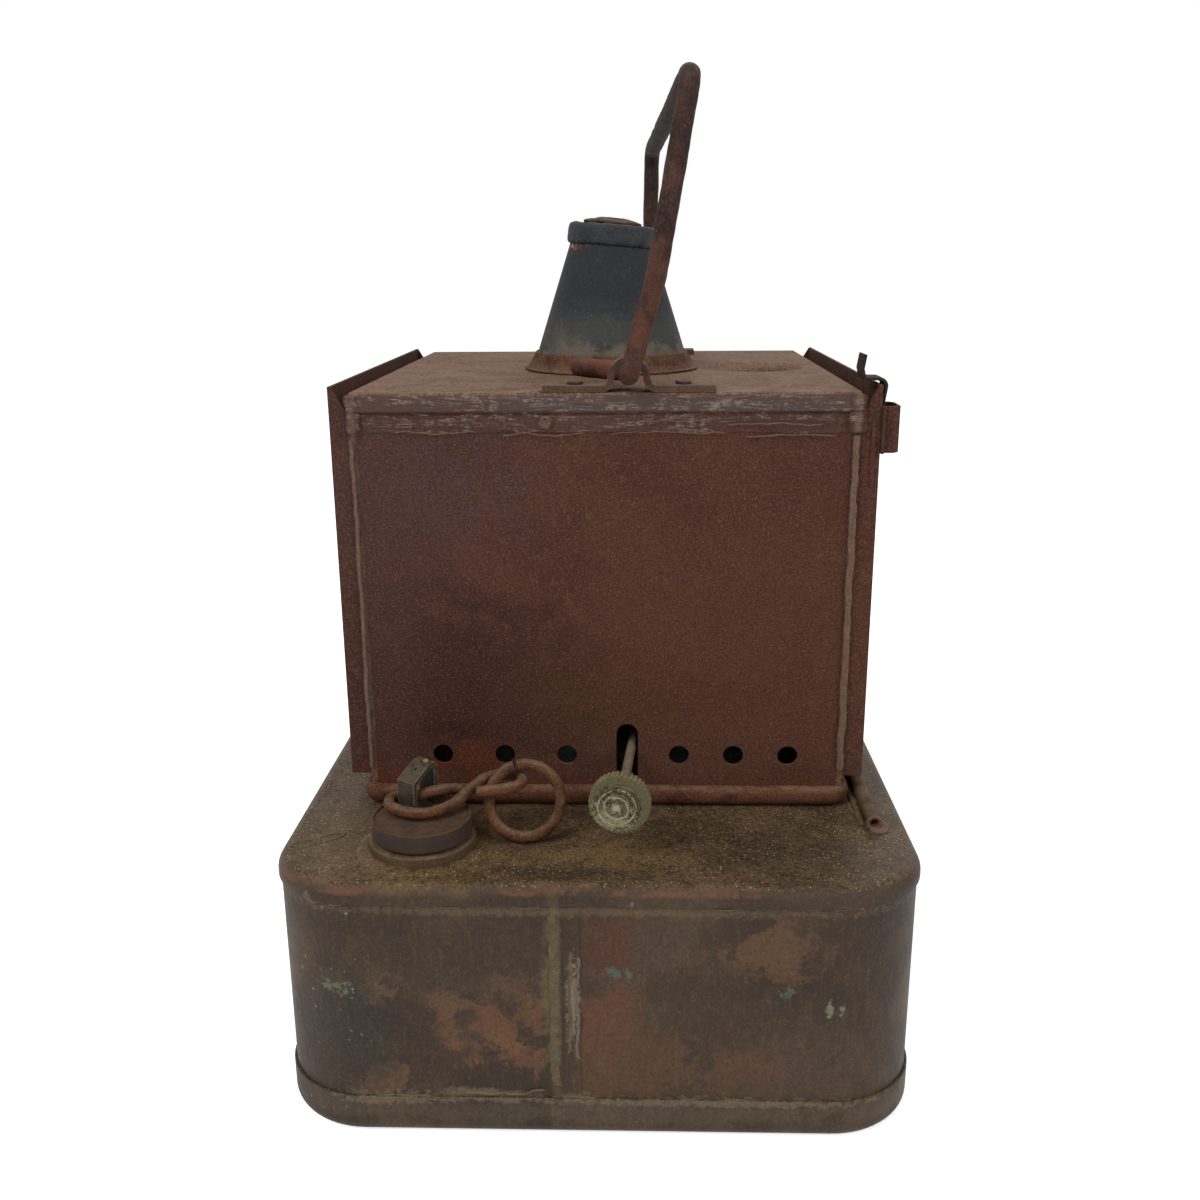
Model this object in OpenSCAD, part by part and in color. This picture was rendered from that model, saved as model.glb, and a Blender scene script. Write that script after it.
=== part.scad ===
// Railway signal lamp. A sheet-iron case with a chimney, a wire bail and a bullseye lens
// tips over on a hinge at the right edge of a copper oil tank, which carries the wick burner
// and the filler. All sizes are in millimetres.
// The origin is the centre of the tank's base, and +Z is up. The winder knob and the filler
// are at the rear, -Y, and the lens looks forwards, +Y.

/* [Tank] */
// Width of the oil tank
tank_w = 203; // [190:1:250]
// Depth of the oil tank
tank_d = 242; // [236:1:300]
// Height of the oil tank
tank_h = 87; // [60:1:120]
// Corner radius of the tank, seen from above
tank_corner_r = 28; // [20:1:32]
// Rounding of the tank's top and bottom edges
tank_edge_r = 4.5; // [3:0.5:5.5]
// Thickness of the copper sheet
copper_t = 0.9; // [0.6:0.1:1.4]
// Depth of the rim that the top pan turns down over the wall
top_rim = 6.2; // [5.5:0.1:16]
// Depth of the rim that the bottom pan turns up over the wall
bottom_rim = 13.7; // [5.5:0.1:20]
// Width of the soldered lap in the rear wall
lap_w = 8.8; // [5:0.1:14]
// Place of the lap, from the tank's middle
lap_x = -9.2; // [-40:0.1:40]

/* [Case] */
// Width of the case
case_w = 159.7; // [140:0.1:170]
// Depth of the case
case_d = 172.5; // [150:0.1:190]
// Height of the case's walls
case_h = 132.1; // [125:0.1:170]
// Thickness of the iron sheet
iron_t = 1; // [0.8:0.1:1.4]
// How far the case stands to the right of the tank's middle
case_x = 1.8; // [-4:0.1:6]
// Ledge of the tank behind the case
rear_ledge = 57.1; // [50:0.1:62]
// Radius of the wired bead around the foot of the case
bead_r = 3.6; // [2.5:0.1:4.5]
// Depth of the lid's turned-down rim
lid_rim = 6; // [4:0.5:12]
// Diameter of the dent in the lid
dent_d = 42; // [30:1:50]
// Depth of the dent in the lid
dent_depth = 4.4; // [1:0.1:5]

/* [Draught holes and winder slot] */
// Diameter of a draught hole
vent_d = 6.7; // [4:0.1:9]
// Height of the draught holes above the case's foot
vent_up = 10.9; // [8:0.1:24]
// Pitch of the three holes left of the slot
vent_pitch_left = 21; // [12:0.1:24]
// Pitch of the three holes right of the slot
vent_pitch_right = 18.2; // [12:0.1:22]
// Width of the winder slot
slot_w = 7.2; // [7:0.1:10]
// Height of the winder slot above the case's foot
slot_up = 22; // [20:0.1:30]
// Place of the slot, from the case's middle
slot_x = 7.4; // [4:0.1:12]

/* [Side pockets and clip] */
// How far a pocket stands out from the case
pocket_out = 6.6; // [5.6:0.1:9]
// Length of a pocket, front to back
pocket_l = 160.5; // [120:0.5:165]
// How far a pocket rises above the case's lid
pocket_rise = 2; // [0:0.1:4]
// Width of the clip's spring strip
clip_w = 9.5; // [6:0.5:12]
// Thickness of the spring strip
clip_t = 1; // [0.8:0.1:1.2]
// Height of the keeper that holds the clip
keeper_h = 14.7; // [8:0.1:20]
// Height of the clip's finger tab above the lid
clip_up = 11; // [7:0.5:16]

/* [Chimney] */
// Radius of the chimney's foot
chimney_r = 27.3; // [22:0.1:32]
// Radius of the chimney at its top
chimney_top_r = 15.4; // [12:0.1:20]
// Height of the cone above its collar
cone_h = 37.2; // [30:0.1:60]
// Height of the collar
collar_h = 7; // [5:0.1:12]
// Height of the rim at the chimney's top
rim_h = 7.6; // [5:0.1:10]
// Tilt of the rim, down to the right
rim_tilt = 5; // [0:0.5:8]

/* [Bail] */
// Diameter of the bail's rod
bail_d = 6.4; // [5:0.1:7]
// Height of the rear corner above the pivots
bail_rear = 87; // [82:0.5:120]
// Height of the front corner above the pivots
bail_front = 77.5; // [72:0.5:112]
// Lean of both legs to the right, near their feet
bail_lean = 15.4; // [8:0.1:18]
// Height above the pivots at which both legs were bent straighter
bail_kink = 30; // [20:1:40]
// Lean of the rear leg above that bend
bail_lean_rear = 9.8; // [6:0.1:18]
// Lean of the front leg above that bend
bail_lean_front = 0.6; // [0:0.1:18]
// Width of a bail bracket's strap, front to back
strap_w = 9.5; // [7:0.5:12]
// Thickness of the strap
strap_t = 2.2; // [1.5:0.1:2.6]
// Overall length of a bracket
strap_l = 54; // [46:1:60]

/* [Filler] */
// Radius of the filler's boss
boss_r = 16.8; // [15.8:0.1:20]
// Height of the boss above the tank
boss_h = 3.9; // [2:0.1:6]
// Radius of the filler cap
cap_r = 15.7; // [15.2:0.1:18]
// Height of the cap
cap_h = 5.6; // [5:0.1:10]
// Diameter of the wire in the link and the split ring
wire_d = 3.7; // [2.8:0.1:3.9]
// Radius of the split ring's centre line
ring_r = 11.5; // [11:0.1:13]
// Backward lean of the split ring
ring_lean = 27; // [20:1:32]

/* [Burner and winder] */
// Diameter of the winder's spindle
spindle_d = 3.2; // [2.4:0.1:3.4]
// Diameter of the winder's knob
knob_d = 19; // [14:0.1:22]
// Thickness of the knob
knob_t = 4; // [3:0.1:6]
// Height of the spindle above the tank
spindle_up = 20.3; // [19:0.1:22]
// Skew of the spindle, seen from above
winder_skew = 4.4; // [0:0.1:5]
// Width of the flat wick
wick_w = 17.5; // [12:0.5:20]
// Thickness of the wick
wick_t = 2.6; // [2:0.1:3]
// Distance from the wick's middle to the spindle
spindle_off = 8; // [7:0.1:9]

/* [Lens] */
// Radius of the bullseye lens
lens_r = 51; // [40:1:54]
// Bulge of the lens
lens_bulge = 6; // [4:0.1:7]

/* [Hidden] */
$fn = 96;
gap = 0.3;
running = 0.05;
touch = 0.02;

// Tank
rear_y = -tank_d / 2;
tank_top_z = tank_h;
wall_out = copper_t;

// Case: its foot bead clears the tank, and its walls stand on the bead's flat
bead_z = tank_top_z + gap + bead_r;
bead_flat = bead_r * 0.89;
foot_z = bead_z + bead_flat;
lid_z = foot_z + case_h;
case_left = case_x - case_w / 2;
case_right = case_x + case_w / 2;
case_rear_y = rear_y + rear_ledge;
case_front_y = case_rear_y + case_d;
case_mid_y = case_rear_y + case_d / 2;
wall_rear_y = case_rear_y + iron_t;
wall_front_y = case_front_y - iron_t;
wall_top_z = lid_z - iron_t;
bead_corner_r = bead_r * 1.12;

// Hinge at the right edge of the tank
hinge_r = 2.5;
hinge_x = case_right + 7.8;
hinge_z = tank_top_z + hinge_r;
hinge_pin_r = 1.1;
hinge_rear_y = rear_y + 39.7;
knuckle_l = 20;
knuckle_from_rear = 20;
knuckle_ys = [case_rear_y + knuckle_from_rear, case_front_y - knuckle_from_rear - knuckle_l];
hinge_front_y = case_front_y - 12;

// Winder slot and draught holes
slot_mid_x = case_x + slot_x;
slot_gap_left = 20.3;
slot_gap_right = 17.4;
vents = [for (i = [0 : 2]) each [slot_mid_x - slot_gap_left - i * vent_pitch_left,
                                 slot_mid_x + slot_gap_right + i * vent_pitch_right]];

// Pockets
pocket_t = 1;
pocket_rear_y = case_rear_y + 1.4;
pocket_foot_z = foot_z + 3.6;
pocket_top_z = lid_z + pocket_rise;
pocket_notch = 9;
pocket_face_x = case_right + pocket_out;

// Clip and keeper, near the rear end of the right pocket
clip_y = pocket_rear_y + 7.5;
keeper_top_z = lid_z - 4.6;
keeper_out = 5.3;
keeper_t = 0.9;
clip_x = pocket_face_x + gap + clip_t / 2;

// Chimney
chimney_x = case_x + 0.9;
chimney_y = case_mid_y + 0.1;
collar_top_z = lid_z + collar_h;
cone_foot_z = lid_z + 2.8;
cone_top_z = collar_top_z + cone_h;
cone_slope = (chimney_r - chimney_top_r) / cone_h;
cone_t = 0.9;
flue_r = chimney_r - 3.5;
rim_r = chimney_top_r + 0.8;
rim_t = 2.6;

// Bail and its brackets
bail_r = bail_d / 2;
pivot_x = case_x + 7.9;
pivot_z = lid_z + 2 + bail_r;
bail_rear_y = case_rear_y - bail_r - 0.6;
bail_front_y = case_front_y - 8.6;
bracket_ys = [case_rear_y + 0.9, case_front_y - 24.5];
arch_r = bail_r + 1.3;
arch_z = pivot_z + bail_r + gap - arch_r;
bail_span = bail_front_y - bail_rear_y;
bail_slope = atan((bail_rear - bail_front) / bail_span);
bail_bend = 9;
pivot_bend = 5;
rivet_r = 2.6;
rivet_h = 1.1;
rivet_shank_r = 1.2;
rivet_out = strap_l / 2 - 10;

// Filler
filler_x = -55.5;
filler_y = rear_y + 26.8;
neck_r = 11.5;
neck_below = 6;
washer_t = 0.6;
boss_top_z = tank_top_z + boss_h;
cap_foot_z = boss_top_z + washer_t + 2 * gap;
cap_top_z = cap_foot_z + cap_h;
cap_rim_h = 0.6;
plug_l = 7.5;
lug_turn = -35;
lug_t = 1.6;
lug_w = 7.2;
lug_l = 11;
lug_h = 14.6;
lug_x = filler_x - 2.2;
lug_y = filler_y + 7.9;
wire_r = wire_d / 2;
wire_z = cap_top_z + wire_r + gap;

// Split ring, standing on the tank and leaning back into the link's hook
ring_x = filler_x + 32.1;
ring_z = tank_top_z + gap + wire_r + ring_r * cos(ring_lean);
ring_y = filler_y + 7.3;
ring_cut = 5;
ring_cut_at = 106;

// Burner, screwed into the tank under the chimney
slot_cross_y = case_rear_y;
spindle_slot_x = slot_mid_x + 1.2;
burner_y = chimney_y;
spindle_z = tank_top_z + spindle_up;
burner_x = spindle_slot_x + (burner_y - slot_cross_y) * tan(winder_skew)
           - spindle_off / cos(winder_skew);
knob_from_burner = 126.2;
burner_collar_r = 16;
burner_collar_h = 4.5;
burner_bore_r = 13;
burner_flange_r = 18;
burner_flange_t = 2;
flange_top_z = tank_top_z + burner_collar_h + burner_flange_t;
tube_t = 0.8;
tube_play = 0.5;
tube_w = wick_w + 2 * (tube_play + tube_t);
tube_d = wick_t + 2 * (tube_play + tube_t);
tube_foot_z = tank_top_z - 6;
tube_top_z = tank_top_z + 50;
wick_foot_z = 14;
wick_top_z = tube_top_z + 3.5;
wheel_r = spindle_off - wick_t / 2 - gap;
wheel_t = 2.2;
wheel_y = 4.5;
wheel_teeth = 12;
bracket_y = 10.5;
bracket_t = 1.5;
shell_z = tank_top_z + 29.5;
shell_h = 13;
shell_r = 15;
dome_h = 11;

// Lens
lens_x = case_x;
lens_z = foot_z + 62;
lens_edge = 3.4;
lens_flange_r = lens_r + 6.5;
barrel_t = 1.2;
packing_t = 1.5;
barrel_l = lens_edge + packing_t + 2 * running + barrel_t;

// Points on an arc, from angle a0 to a1
function arc(x, y, r, a0, a1, n) =
    [for (i = [0 : n]) let (a = a0 + (a1 - a0) * i / n) [x + r * cos(a), y + r * sin(a)]];

// Unit vector along a
function unit(a) = a / norm(a);

// Offset direction at point i of a flat path, lengthened at a bend to keep the strip's thickness
function side(p, i) =
    let (n = len(p),
         a = unit(p[min(i + 1, n - 1)] - p[min(i, n - 2)]),
         b = unit(p[max(i, 1)] - p[max(i - 1, 0)]),
         m = unit(a + b))
    [-m[1], m[0]] / max(0.5, m * a);

// Outline of a strip of thickness t, bent along a flat path
function strip(p, t) = concat(
    [for (i = [0 : len(p) - 1]) p[i] + side(p, i) * t / 2],
    [for (i = [len(p) - 1 : -1 : 0]) p[i] - side(p, i) * t / 2]);

// Smooth curve through the inner points of p, with n steps between each two
function spline(p, n) = concat(
    [for (i = [1 : len(p) - 3], k = [0 : n - 1]) let (t = k / n)
        0.5 * (2 * p[i] + (p[i + 1] - p[i - 1]) * t
        + (2 * p[i - 1] - 5 * p[i] + 4 * p[i + 1] - p[i + 2]) * t * t
        + (3 * p[i] - 3 * p[i + 1] + p[i + 2] - p[i - 1]) * t * t * t)],
    [p[len(p) - 2]]);

// Round wire of radius r along the points p, whose run is never along ref
module wire(p, r, sides, ref) {
    n = len(p);
    rings = [for (i = [0 : n - 1]) let (
        t = unit(p[min(i + 1, n - 1)] - p[max(i - 1, 0)]),
        across = unit(ref - (ref * t) * t),
        over = cross(t, across))
        for (k = [0 : sides - 1])
            p[i] + r * (across * cos(360 * k / sides) + over * sin(360 * k / sides))];
    polyhedron(points = rings, faces = concat(
        [[for (k = [0 : sides - 1]) k]],
        [for (i = [0 : n - 2], k = [0 : sides - 1])
            let (a = i * sides + k, b = i * sides + (k + 1) % sides)
            [a, a + sides, b + sides, b]],
        [[for (k = [sides - 1 : -1 : 0]) (n - 1) * sides + k]]));
}

// Sweeps a flat section around a rectangle w by d with corner radius r.
// The section's x is 0 at the outer face, and its y is the height.
module around(w, d, r) {
    for (k = [0 : 3]) {
        a = k % 2 == 0 ? w : d;
        b = k % 2 == 0 ? d : w;
        rotate([0, 0, 90 * k]) {
            translate([a / 2 - r, b / 2 - r, 0])
                rotate_extrude(angle = 90) translate([r, 0]) children();
            translate([a / 2, b / 2 - r, 0])
                rotate([90, 0, 0]) linear_extrude(b - 2 * r) children();
        }
    }
}

// Section of a pan's edge: the flat, the rounded edge and the turned rim
module pan_edge(rim) {
    outer = arc(-tank_edge_r, -tank_edge_r, tank_edge_r, 90, 0, 10);
    inner = arc(-tank_edge_r, -tank_edge_r, tank_edge_r - copper_t, 0, 90, 10);
    polygon(concat([[-tank_corner_r, 0]], outer, [[0, -rim], [-copper_t, -rim]], inner,
                   [[-tank_corner_r, -copper_t]]));
}

// A pressed pan with its flat side up at z = 0
module pan(rim) {
    around(tank_w, tank_d, tank_corner_r) pan_edge(rim);
    translate([-tank_w / 2 + tank_corner_r, -tank_d / 2 + tank_corner_r, -copper_t])
        cube([tank_w - 2 * tank_corner_r, tank_d - 2 * tank_corner_r, copper_t]);
}

// A cylinder along +Y, from y0 to y1
module rod_y(x, z, r, y0, y1) {
    translate([x, y0, z]) rotate([-90, 0, 0]) cylinder(h = y1 - y0, r = r);
}

// Places its children in the burner's own frame, where Y runs along the spindle
module at_burner() {
    translate([burner_x, burner_y, 0]) rotate([0, 0, -winder_skew]) children();
}

module tank_wall() {
    wall_foot = tank_edge_r + 0.5;
    wall_h = tank_h - 2 * wall_foot;
    color("#4a3527") {
        translate([0, 0, wall_foot])
            around(tank_w - 2 * wall_out, tank_d - 2 * wall_out, tank_corner_r - wall_out)
                translate([-copper_t, 0]) square([copper_t, wall_h]);
        translate([lap_x - lap_w / 2, rear_y + wall_out - 0.5, bottom_rim])
            cube([lap_w, 0.5, tank_h - top_rim - bottom_rim]);
    }
}

module tank_top() {
    color("#4d3b2c") difference() {
        translate([0, 0, tank_h]) pan(top_rim);
        translate([filler_x, filler_y, tank_h - 5]) cylinder(h = 10, r = neck_r + 1.5 + running);
        translate([burner_x, burner_y, tank_h - 5]) cylinder(h = 10, r = burner_bore_r);
    }
}

module tank_bottom() {
    color("#3f2f25") mirror([0, 0, 1]) pan(bottom_rim);
}

module filler_boss() {
    color("#55432f") translate([filler_x, filler_y, 0]) difference() {
        union() {
            translate([0, 0, tank_top_z]) cylinder(h = boss_h, r = boss_r);
            translate([0, 0, tank_top_z - neck_below]) cylinder(h = neck_below, r = neck_r + 1.5);
        }
        translate([0, 0, tank_top_z - neck_below - 1])
            cylinder(h = neck_below + boss_h + 2, r = neck_r);
    }
}

module cap_washer() {
    color("#3b2a1c") translate([filler_x, filler_y, boss_top_z + gap]) difference() {
        cylinder(h = washer_t, r = cap_r - 0.7);
        translate([0, 0, -1]) cylinder(h = washer_t + 2, r = neck_r);
    }
}

module filler_cap() {
    color("#4f4636") translate([filler_x, filler_y, 0]) {
        difference() {
            translate([0, 0, cap_foot_z]) cylinder(h = cap_h, r = cap_r);
            translate([0, 0, cap_top_z - cap_rim_h]) cylinder(h = cap_h, r = cap_r - 0.9);
        }
        translate([0, 0, cap_foot_z - plug_l]) cylinder(h = plug_l, r = neck_r - gap);
    }
}

// Bridge lug on the filler cap: a strap bent into an arch with sloping shoulders
module cap_lug() {
    half = lug_l / 2 - lug_t / 2;
    path = [[-half, 0], [-half, lug_h * 0.67], [half * 0.5, lug_h - lug_t / 2],
            [half * 0.85, lug_h - lug_t / 2], [half, lug_h * 0.88], [half, 0]];
    hole_r = 0.6;
    color("#57503f") translate([lug_x, lug_y, cap_top_z - cap_rim_h]) rotate([0, 0, lug_turn])
        difference() {
            rotate([90, 0, 90]) translate([0, 0, -lug_w / 2])
                linear_extrude(lug_w) polygon(strip(path, lug_t));
            for (y = [-0.6, 2.3]) translate([0, y, 0]) cylinder(h = lug_h + 4, r = hole_r);
        }
}

// Hooked wire link: it runs through the lug's arch, round its rear leg and up to the split ring
module cap_link() {
    route = [
        [15.4, 11.4, 0.8], [12.3, 10.8, 1.4], [8.8, 9.4, 2.5], [5.7, 7.2, 3.1], [2.2, 6.1, 2.9],
        [-1.6, 5.8, 1.6], [-5.2, 8.1, 0.2], [-8.4, 9.4, 0], [-11, 7.2, 0], [-10.3, 2, 0], [-6.2, -1.9, 0],
        [-0.8, -3.6, 0], [4.6, -2.2, 0], [9.2, 1.8, 0.4], [13.4, 6.4, 2.3], [17.4, 11.2, 4.4],
        [21.7, 14.6, 5], [26.1, 15.8, 4.8], [29.7, 14.4, 4.8], [31.2, 10.4, 4.9], [29.6, 6.6, 4.8],
        [25.6, 4.8, 4.6], [21.2, 4.3, 4.2], [17.2, 4.3, 3.9], [14, 4.4, 3.6]
    ];
    color("#6b3a26") translate([filler_x, filler_y, wire_z]) wire(spline(route, 5), wire_r, 12, [0, 0, 1]);
}

module split_ring() {
    color("#6a3d29") translate([ring_x, ring_y, ring_z]) rotate([90 - ring_lean, 0, 0])
        rotate([0, 0, ring_cut_at + ring_cut / 2]) rotate_extrude(angle = 360 - ring_cut)
            translate([ring_r, 0]) circle(r = wire_r);
}

module burner_collar() {
    color("#8a6a35") translate([burner_x, burner_y, tank_top_z]) difference() {
        cylinder(h = burner_collar_h, r = burner_collar_r);
        translate([0, 0, -1]) cylinder(h = burner_collar_h + 2, r = burner_bore_r);
    }
}

module burner_base() {
    color("#94733a") at_burner() difference() {
        union() {
            translate([0, 0, flange_top_z - burner_flange_t])
                cylinder(h = burner_flange_t, r = burner_flange_r);
            translate([0, 0, tank_top_z - 4])
                cylinder(h = burner_collar_h + 4, r = burner_bore_r - 2 * running);
        }
        translate([-tube_d / 2, -tube_w / 2, tank_top_z - 6]) cube([tube_d, tube_w, 20]);
    }
}

module wick_tube() {
    window_w = wheel_t + 1;
    window_h = 9;
    color("#8f7a45") at_burner() difference() {
        translate([-tube_d / 2, -tube_w / 2, tube_foot_z]) cube([tube_d, tube_w, tube_top_z - tube_foot_z]);
        translate([-tube_d / 2 + tube_t, -tube_w / 2 + tube_t, tube_foot_z - 1])
            cube([tube_d - 2 * tube_t, tube_w - 2 * tube_t, tube_top_z - tube_foot_z + 2]);
        for (y = [-wheel_y, wheel_y])
            translate([0, y - window_w / 2, spindle_z - window_h / 2]) cube([tube_d, window_w, window_h]);
    }
}

module wick() {
    color("#d8ccb0") at_burner() translate([-wick_t / 2, -wick_w / 2, wick_foot_z])
        cube([wick_t, wick_w, wick_top_z - wick_foot_z]);
}

// Two upright ears on the burner's flange that carry the spindle
module winder_bracket() {
    ear_w = 8;
    color("#8a6f3a") at_burner() difference() {
        for (y = [-bracket_y, bracket_y])
            translate([spindle_off - ear_w / 2, y - bracket_t / 2, flange_top_z])
                cube([ear_w, bracket_t, spindle_z + ear_w / 2 - flange_top_z]);
        rod_y(spindle_off, spindle_z, spindle_d / 2 + running, -20, 20);
    }
}

// Perforated shell round the top of the wick tube
module burner_shell() {
    air_hole_r = 1.6;
    color("#8f7136") at_burner() translate([0, 0, shell_z]) difference() {
        cylinder(h = shell_h, r = shell_r);
        translate([0, 0, 1]) cylinder(h = shell_h, r = shell_r - 1);
        translate([-tube_d / 2, -tube_w / 2, -1]) cube([tube_d, tube_w, 3]);
        for (k = [0 : 11]) rotate([0, 0, 30 * k]) translate([shell_r - 3, 0, 6]) rotate([0, 90, 0])
            cylinder(h = 6, r = air_hole_r);
    }
}

// Domed cap with the slot for the flame
module burner_dome() {
    sphere_r = (shell_r * shell_r + dome_h * dome_h) / (2 * dome_h);
    color("#96783c") at_burner() translate([0, 0, shell_z + shell_h]) difference() {
        intersection() {
            translate([0, 0, dome_h - sphere_r]) sphere(r = sphere_r);
            cylinder(h = dome_h, r = shell_r);
        }
        intersection() {
            translate([0, 0, dome_h - sphere_r]) sphere(r = sphere_r - 0.9);
            translate([0, 0, -1]) cylinder(h = dome_h + 1, r = shell_r);
        }
        translate([-tube_d / 2 - 0.6, -tube_w / 2 - 0.6, 0]) cube([tube_d + 1.2, tube_w + 1.2, dome_h + 1]);
    }
}

module winder_spindle() {
    color("#8d8468") at_burner()
        rod_y(spindle_off, spindle_z, spindle_d / 2, -knob_from_burner, bracket_y + 3);
}

// Star wheels that feed the wick through the windows of its tube
module winder_wheels() {
    star = [for (k = [0 : 2 * wheel_teeth - 1])
        let (a = 180 * k / wheel_teeth, r = k % 2 == 0 ? wheel_r : wheel_r - 1.3) [r * cos(a), r * sin(a)]];
    color("#a08848") at_burner() for (y = [-wheel_y, wheel_y])
        translate([spindle_off, y + wheel_t / 2, spindle_z]) rotate([90, 0, 0]) difference() {
            linear_extrude(wheel_t) polygon(star);
            translate([0, 0, -1]) cylinder(h = wheel_t + 2, r = spindle_d / 2);
        }
}

// Knob with a milled edge and raised rings on its face
module winder_knob() {
    mills = 40;
    mill_r = 0.45;
    ring_h = 0.5;
    color("#8c8a5e") at_burner()
        translate([spindle_off, -knob_from_burner + 1.5, spindle_z]) rotate([90, 0, 0]) difference() {
            union() {
                cylinder(h = knob_t, r = knob_d / 2);
                translate([0, 0, knob_t]) cylinder(h = ring_h, r = knob_d * 0.17);
                translate([0, 0, knob_t]) difference() {
                    cylinder(h = ring_h * 0.7, r = knob_d * 0.33);
                    translate([0, 0, -1]) cylinder(h = 3, r = knob_d * 0.27);
                }
                translate([0, 0, -2]) cylinder(h = 2, r = spindle_d / 2 + 1.2);
            }
            translate([0, 0, -3]) cylinder(h = 4.5, r = spindle_d / 2);
            for (k = [0 : mills - 1]) rotate([0, 0, 360 * k / mills])
                translate([knob_d / 2 + 0.1, 0, -1]) cylinder(h = knob_t + 2, r = mill_r, $fn = 16);
        }
}

// Stretches of hinge tube on the tank, between the case's knuckles
module hinge_tubes() {
    starts = concat([hinge_rear_y], [for (y = knuckle_ys) y + knuckle_l + gap]);
    ends = concat([for (y = knuckle_ys) y - gap], [hinge_front_y]);
    seat_w = 3.6;
    color("#5a3526") for (i = [0 : 2]) difference() {
        union() {
            rod_y(hinge_x, hinge_z, hinge_r, starts[i], ends[i]);
            translate([hinge_x - seat_w / 2, starts[i], tank_top_z])
                cube([seat_w, ends[i] - starts[i], hinge_r * 0.5]);
        }
        rod_y(hinge_x, hinge_z, hinge_pin_r + running, starts[i] - 1, ends[i] + 1);
    }
}

module hinge_pin() {
    color("#4a2f22") rod_y(hinge_x, hinge_z, hinge_pin_r, hinge_rear_y + 3, hinge_front_y - 0.5);
}

// Knuckles of the case, each on a leaf soldered to the foot bead
module case_knuckles() {
    leaf_t = 1.1;
    bead_x = case_right - iron_t / 2;
    color("#5a3023") for (y = knuckle_ys) difference() {
        union() {
            rod_y(hinge_x, hinge_z, hinge_r - gap, y, y + knuckle_l);
            translate([bead_x, y, bead_z - leaf_t / 2]) cube([hinge_x - bead_x, knuckle_l, leaf_t]);
        }
        rod_y(hinge_x, hinge_z, hinge_pin_r + running, y - 1, y + knuckle_l + 1);
        rod_y(bead_x, bead_z, bead_r + touch, y - 1, y + knuckle_l + 1);
    }
}

// The slot's space through the rear wall and the bead below it
module slot_space() {
    slot_top_z = foot_z + slot_up;
    translate([slot_mid_x - slot_w / 2, case_rear_y - 10, tank_top_z])
        cube([slot_w, 20, slot_top_z - slot_w / 2 - tank_top_z]);
    rod_y(slot_mid_x, slot_top_z - slot_w / 2, slot_w / 2, case_rear_y - 10, case_rear_y + 10);
}

module base_bead() {
    color("#5b2f23") difference() {
        translate([case_x, case_mid_y, bead_z])
            around(case_w - iron_t + 2 * bead_r, case_d - 3 * iron_t + 2 * bead_r, bead_corner_r + bead_r)
                translate([-bead_r, 0]) circle(r = bead_r, $fn = 48);
        translate([case_left - 10, case_rear_y - 10, foot_z]) cube([case_w + 20, case_d + 20, bead_r]);
        slot_space();
    }
}

module rear_wall() {
    color("#4f2c25") difference() {
        translate([case_left, wall_rear_y, foot_z]) cube([case_w, iron_t, wall_top_z - foot_z]);
        slot_space();
        for (x = vents) rod_y(x, foot_z + vent_up, vent_d / 2, wall_rear_y - 1, wall_rear_y + iron_t + 1);
    }
}

module front_wall() {
    color("#4f2c25") difference() {
        translate([case_left, wall_front_y - iron_t, foot_z]) cube([case_w, iron_t, wall_top_z - foot_z]);
        rod_y(lens_x, lens_z, lens_r - 3, wall_front_y - 5, wall_front_y + 5);
        ring_rivet_places() cylinder(h = 10, r = 1 + running, center = true);
    }
}

// A side wall between the front and rear walls, with its outer face at x
module side_wall(x) {
    from_y = wall_rear_y + iron_t;
    translate([x, from_y, foot_z]) cube([iron_t, wall_front_y - iron_t - from_y, wall_top_z - foot_z]);
}

module left_wall() {
    color("#4c2a24") side_wall(case_left);
}

module right_wall() {
    color("#4c2a24") side_wall(case_right - iron_t);
}

// Lid with turned-down rims at the rear and front, a flue hole and a shallow dent
module case_lid() {
    dent_x = case_right - iron_t - 4 - dent_d / 2;
    dent_y = chimney_y + 4;
    dent_r = (dent_d * dent_d / 4 + dent_depth * dent_depth) / (2 * dent_depth);
    dent_z = lid_z - dent_depth + dent_r;
    color("#6a4d3c") difference() {
        union() {
            translate([case_left, case_rear_y, lid_z - iron_t]) cube([case_w, case_d, iron_t]);
            for (y = [case_rear_y, case_front_y - iron_t])
                translate([case_left, y, lid_z - lid_rim]) cube([case_w, iron_t, lid_rim]);
            intersection() {
                translate([dent_x, dent_y, dent_z]) sphere(r = dent_r + iron_t);
                translate([dent_x, dent_y, lid_z - dent_depth - 2 * iron_t])
                    cylinder(h = dent_depth + 1.5 * iron_t, r = dent_d / 2);
            }
        }
        translate([dent_x, dent_y, dent_z]) sphere(r = dent_r);
        translate([chimney_x, chimney_y, lid_z - 5]) cylinder(h = 10, r = flue_r);
        for (y = bracket_ys, s = [-1, 1])
            translate([pivot_x + s * rivet_out, y + strap_w / 2, lid_z - 5])
                cylinder(h = 10, r = rivet_shank_r + running);
    }
}

// Flat pocket, open at the top, for the right side; its strips stand on the wall at x = 0
module pocket() {
    h = pocket_top_z - pocket_foot_z;
    inner = pocket_out - pocket_t;
    translate([inner, 0, 0]) cube([pocket_t, pocket_l, h]);
    cube([inner, pocket_l, pocket_t]);
    for (y = [0, pocket_l - pocket_t])
        translate([0, y + pocket_t, 0]) rotate([90, 0, 0]) linear_extrude(pocket_t)
            polygon([[0, 0], [inner, 0], [inner, h], [0, h - pocket_notch]]);
}

module left_pocket() {
    color("#532b24") translate([case_left, pocket_rear_y, pocket_foot_z]) mirror([1, 0, 0]) pocket();
}

module right_pocket() {
    color("#532b24") translate([case_right, pocket_rear_y, pocket_foot_z]) pocket();
}

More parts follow.
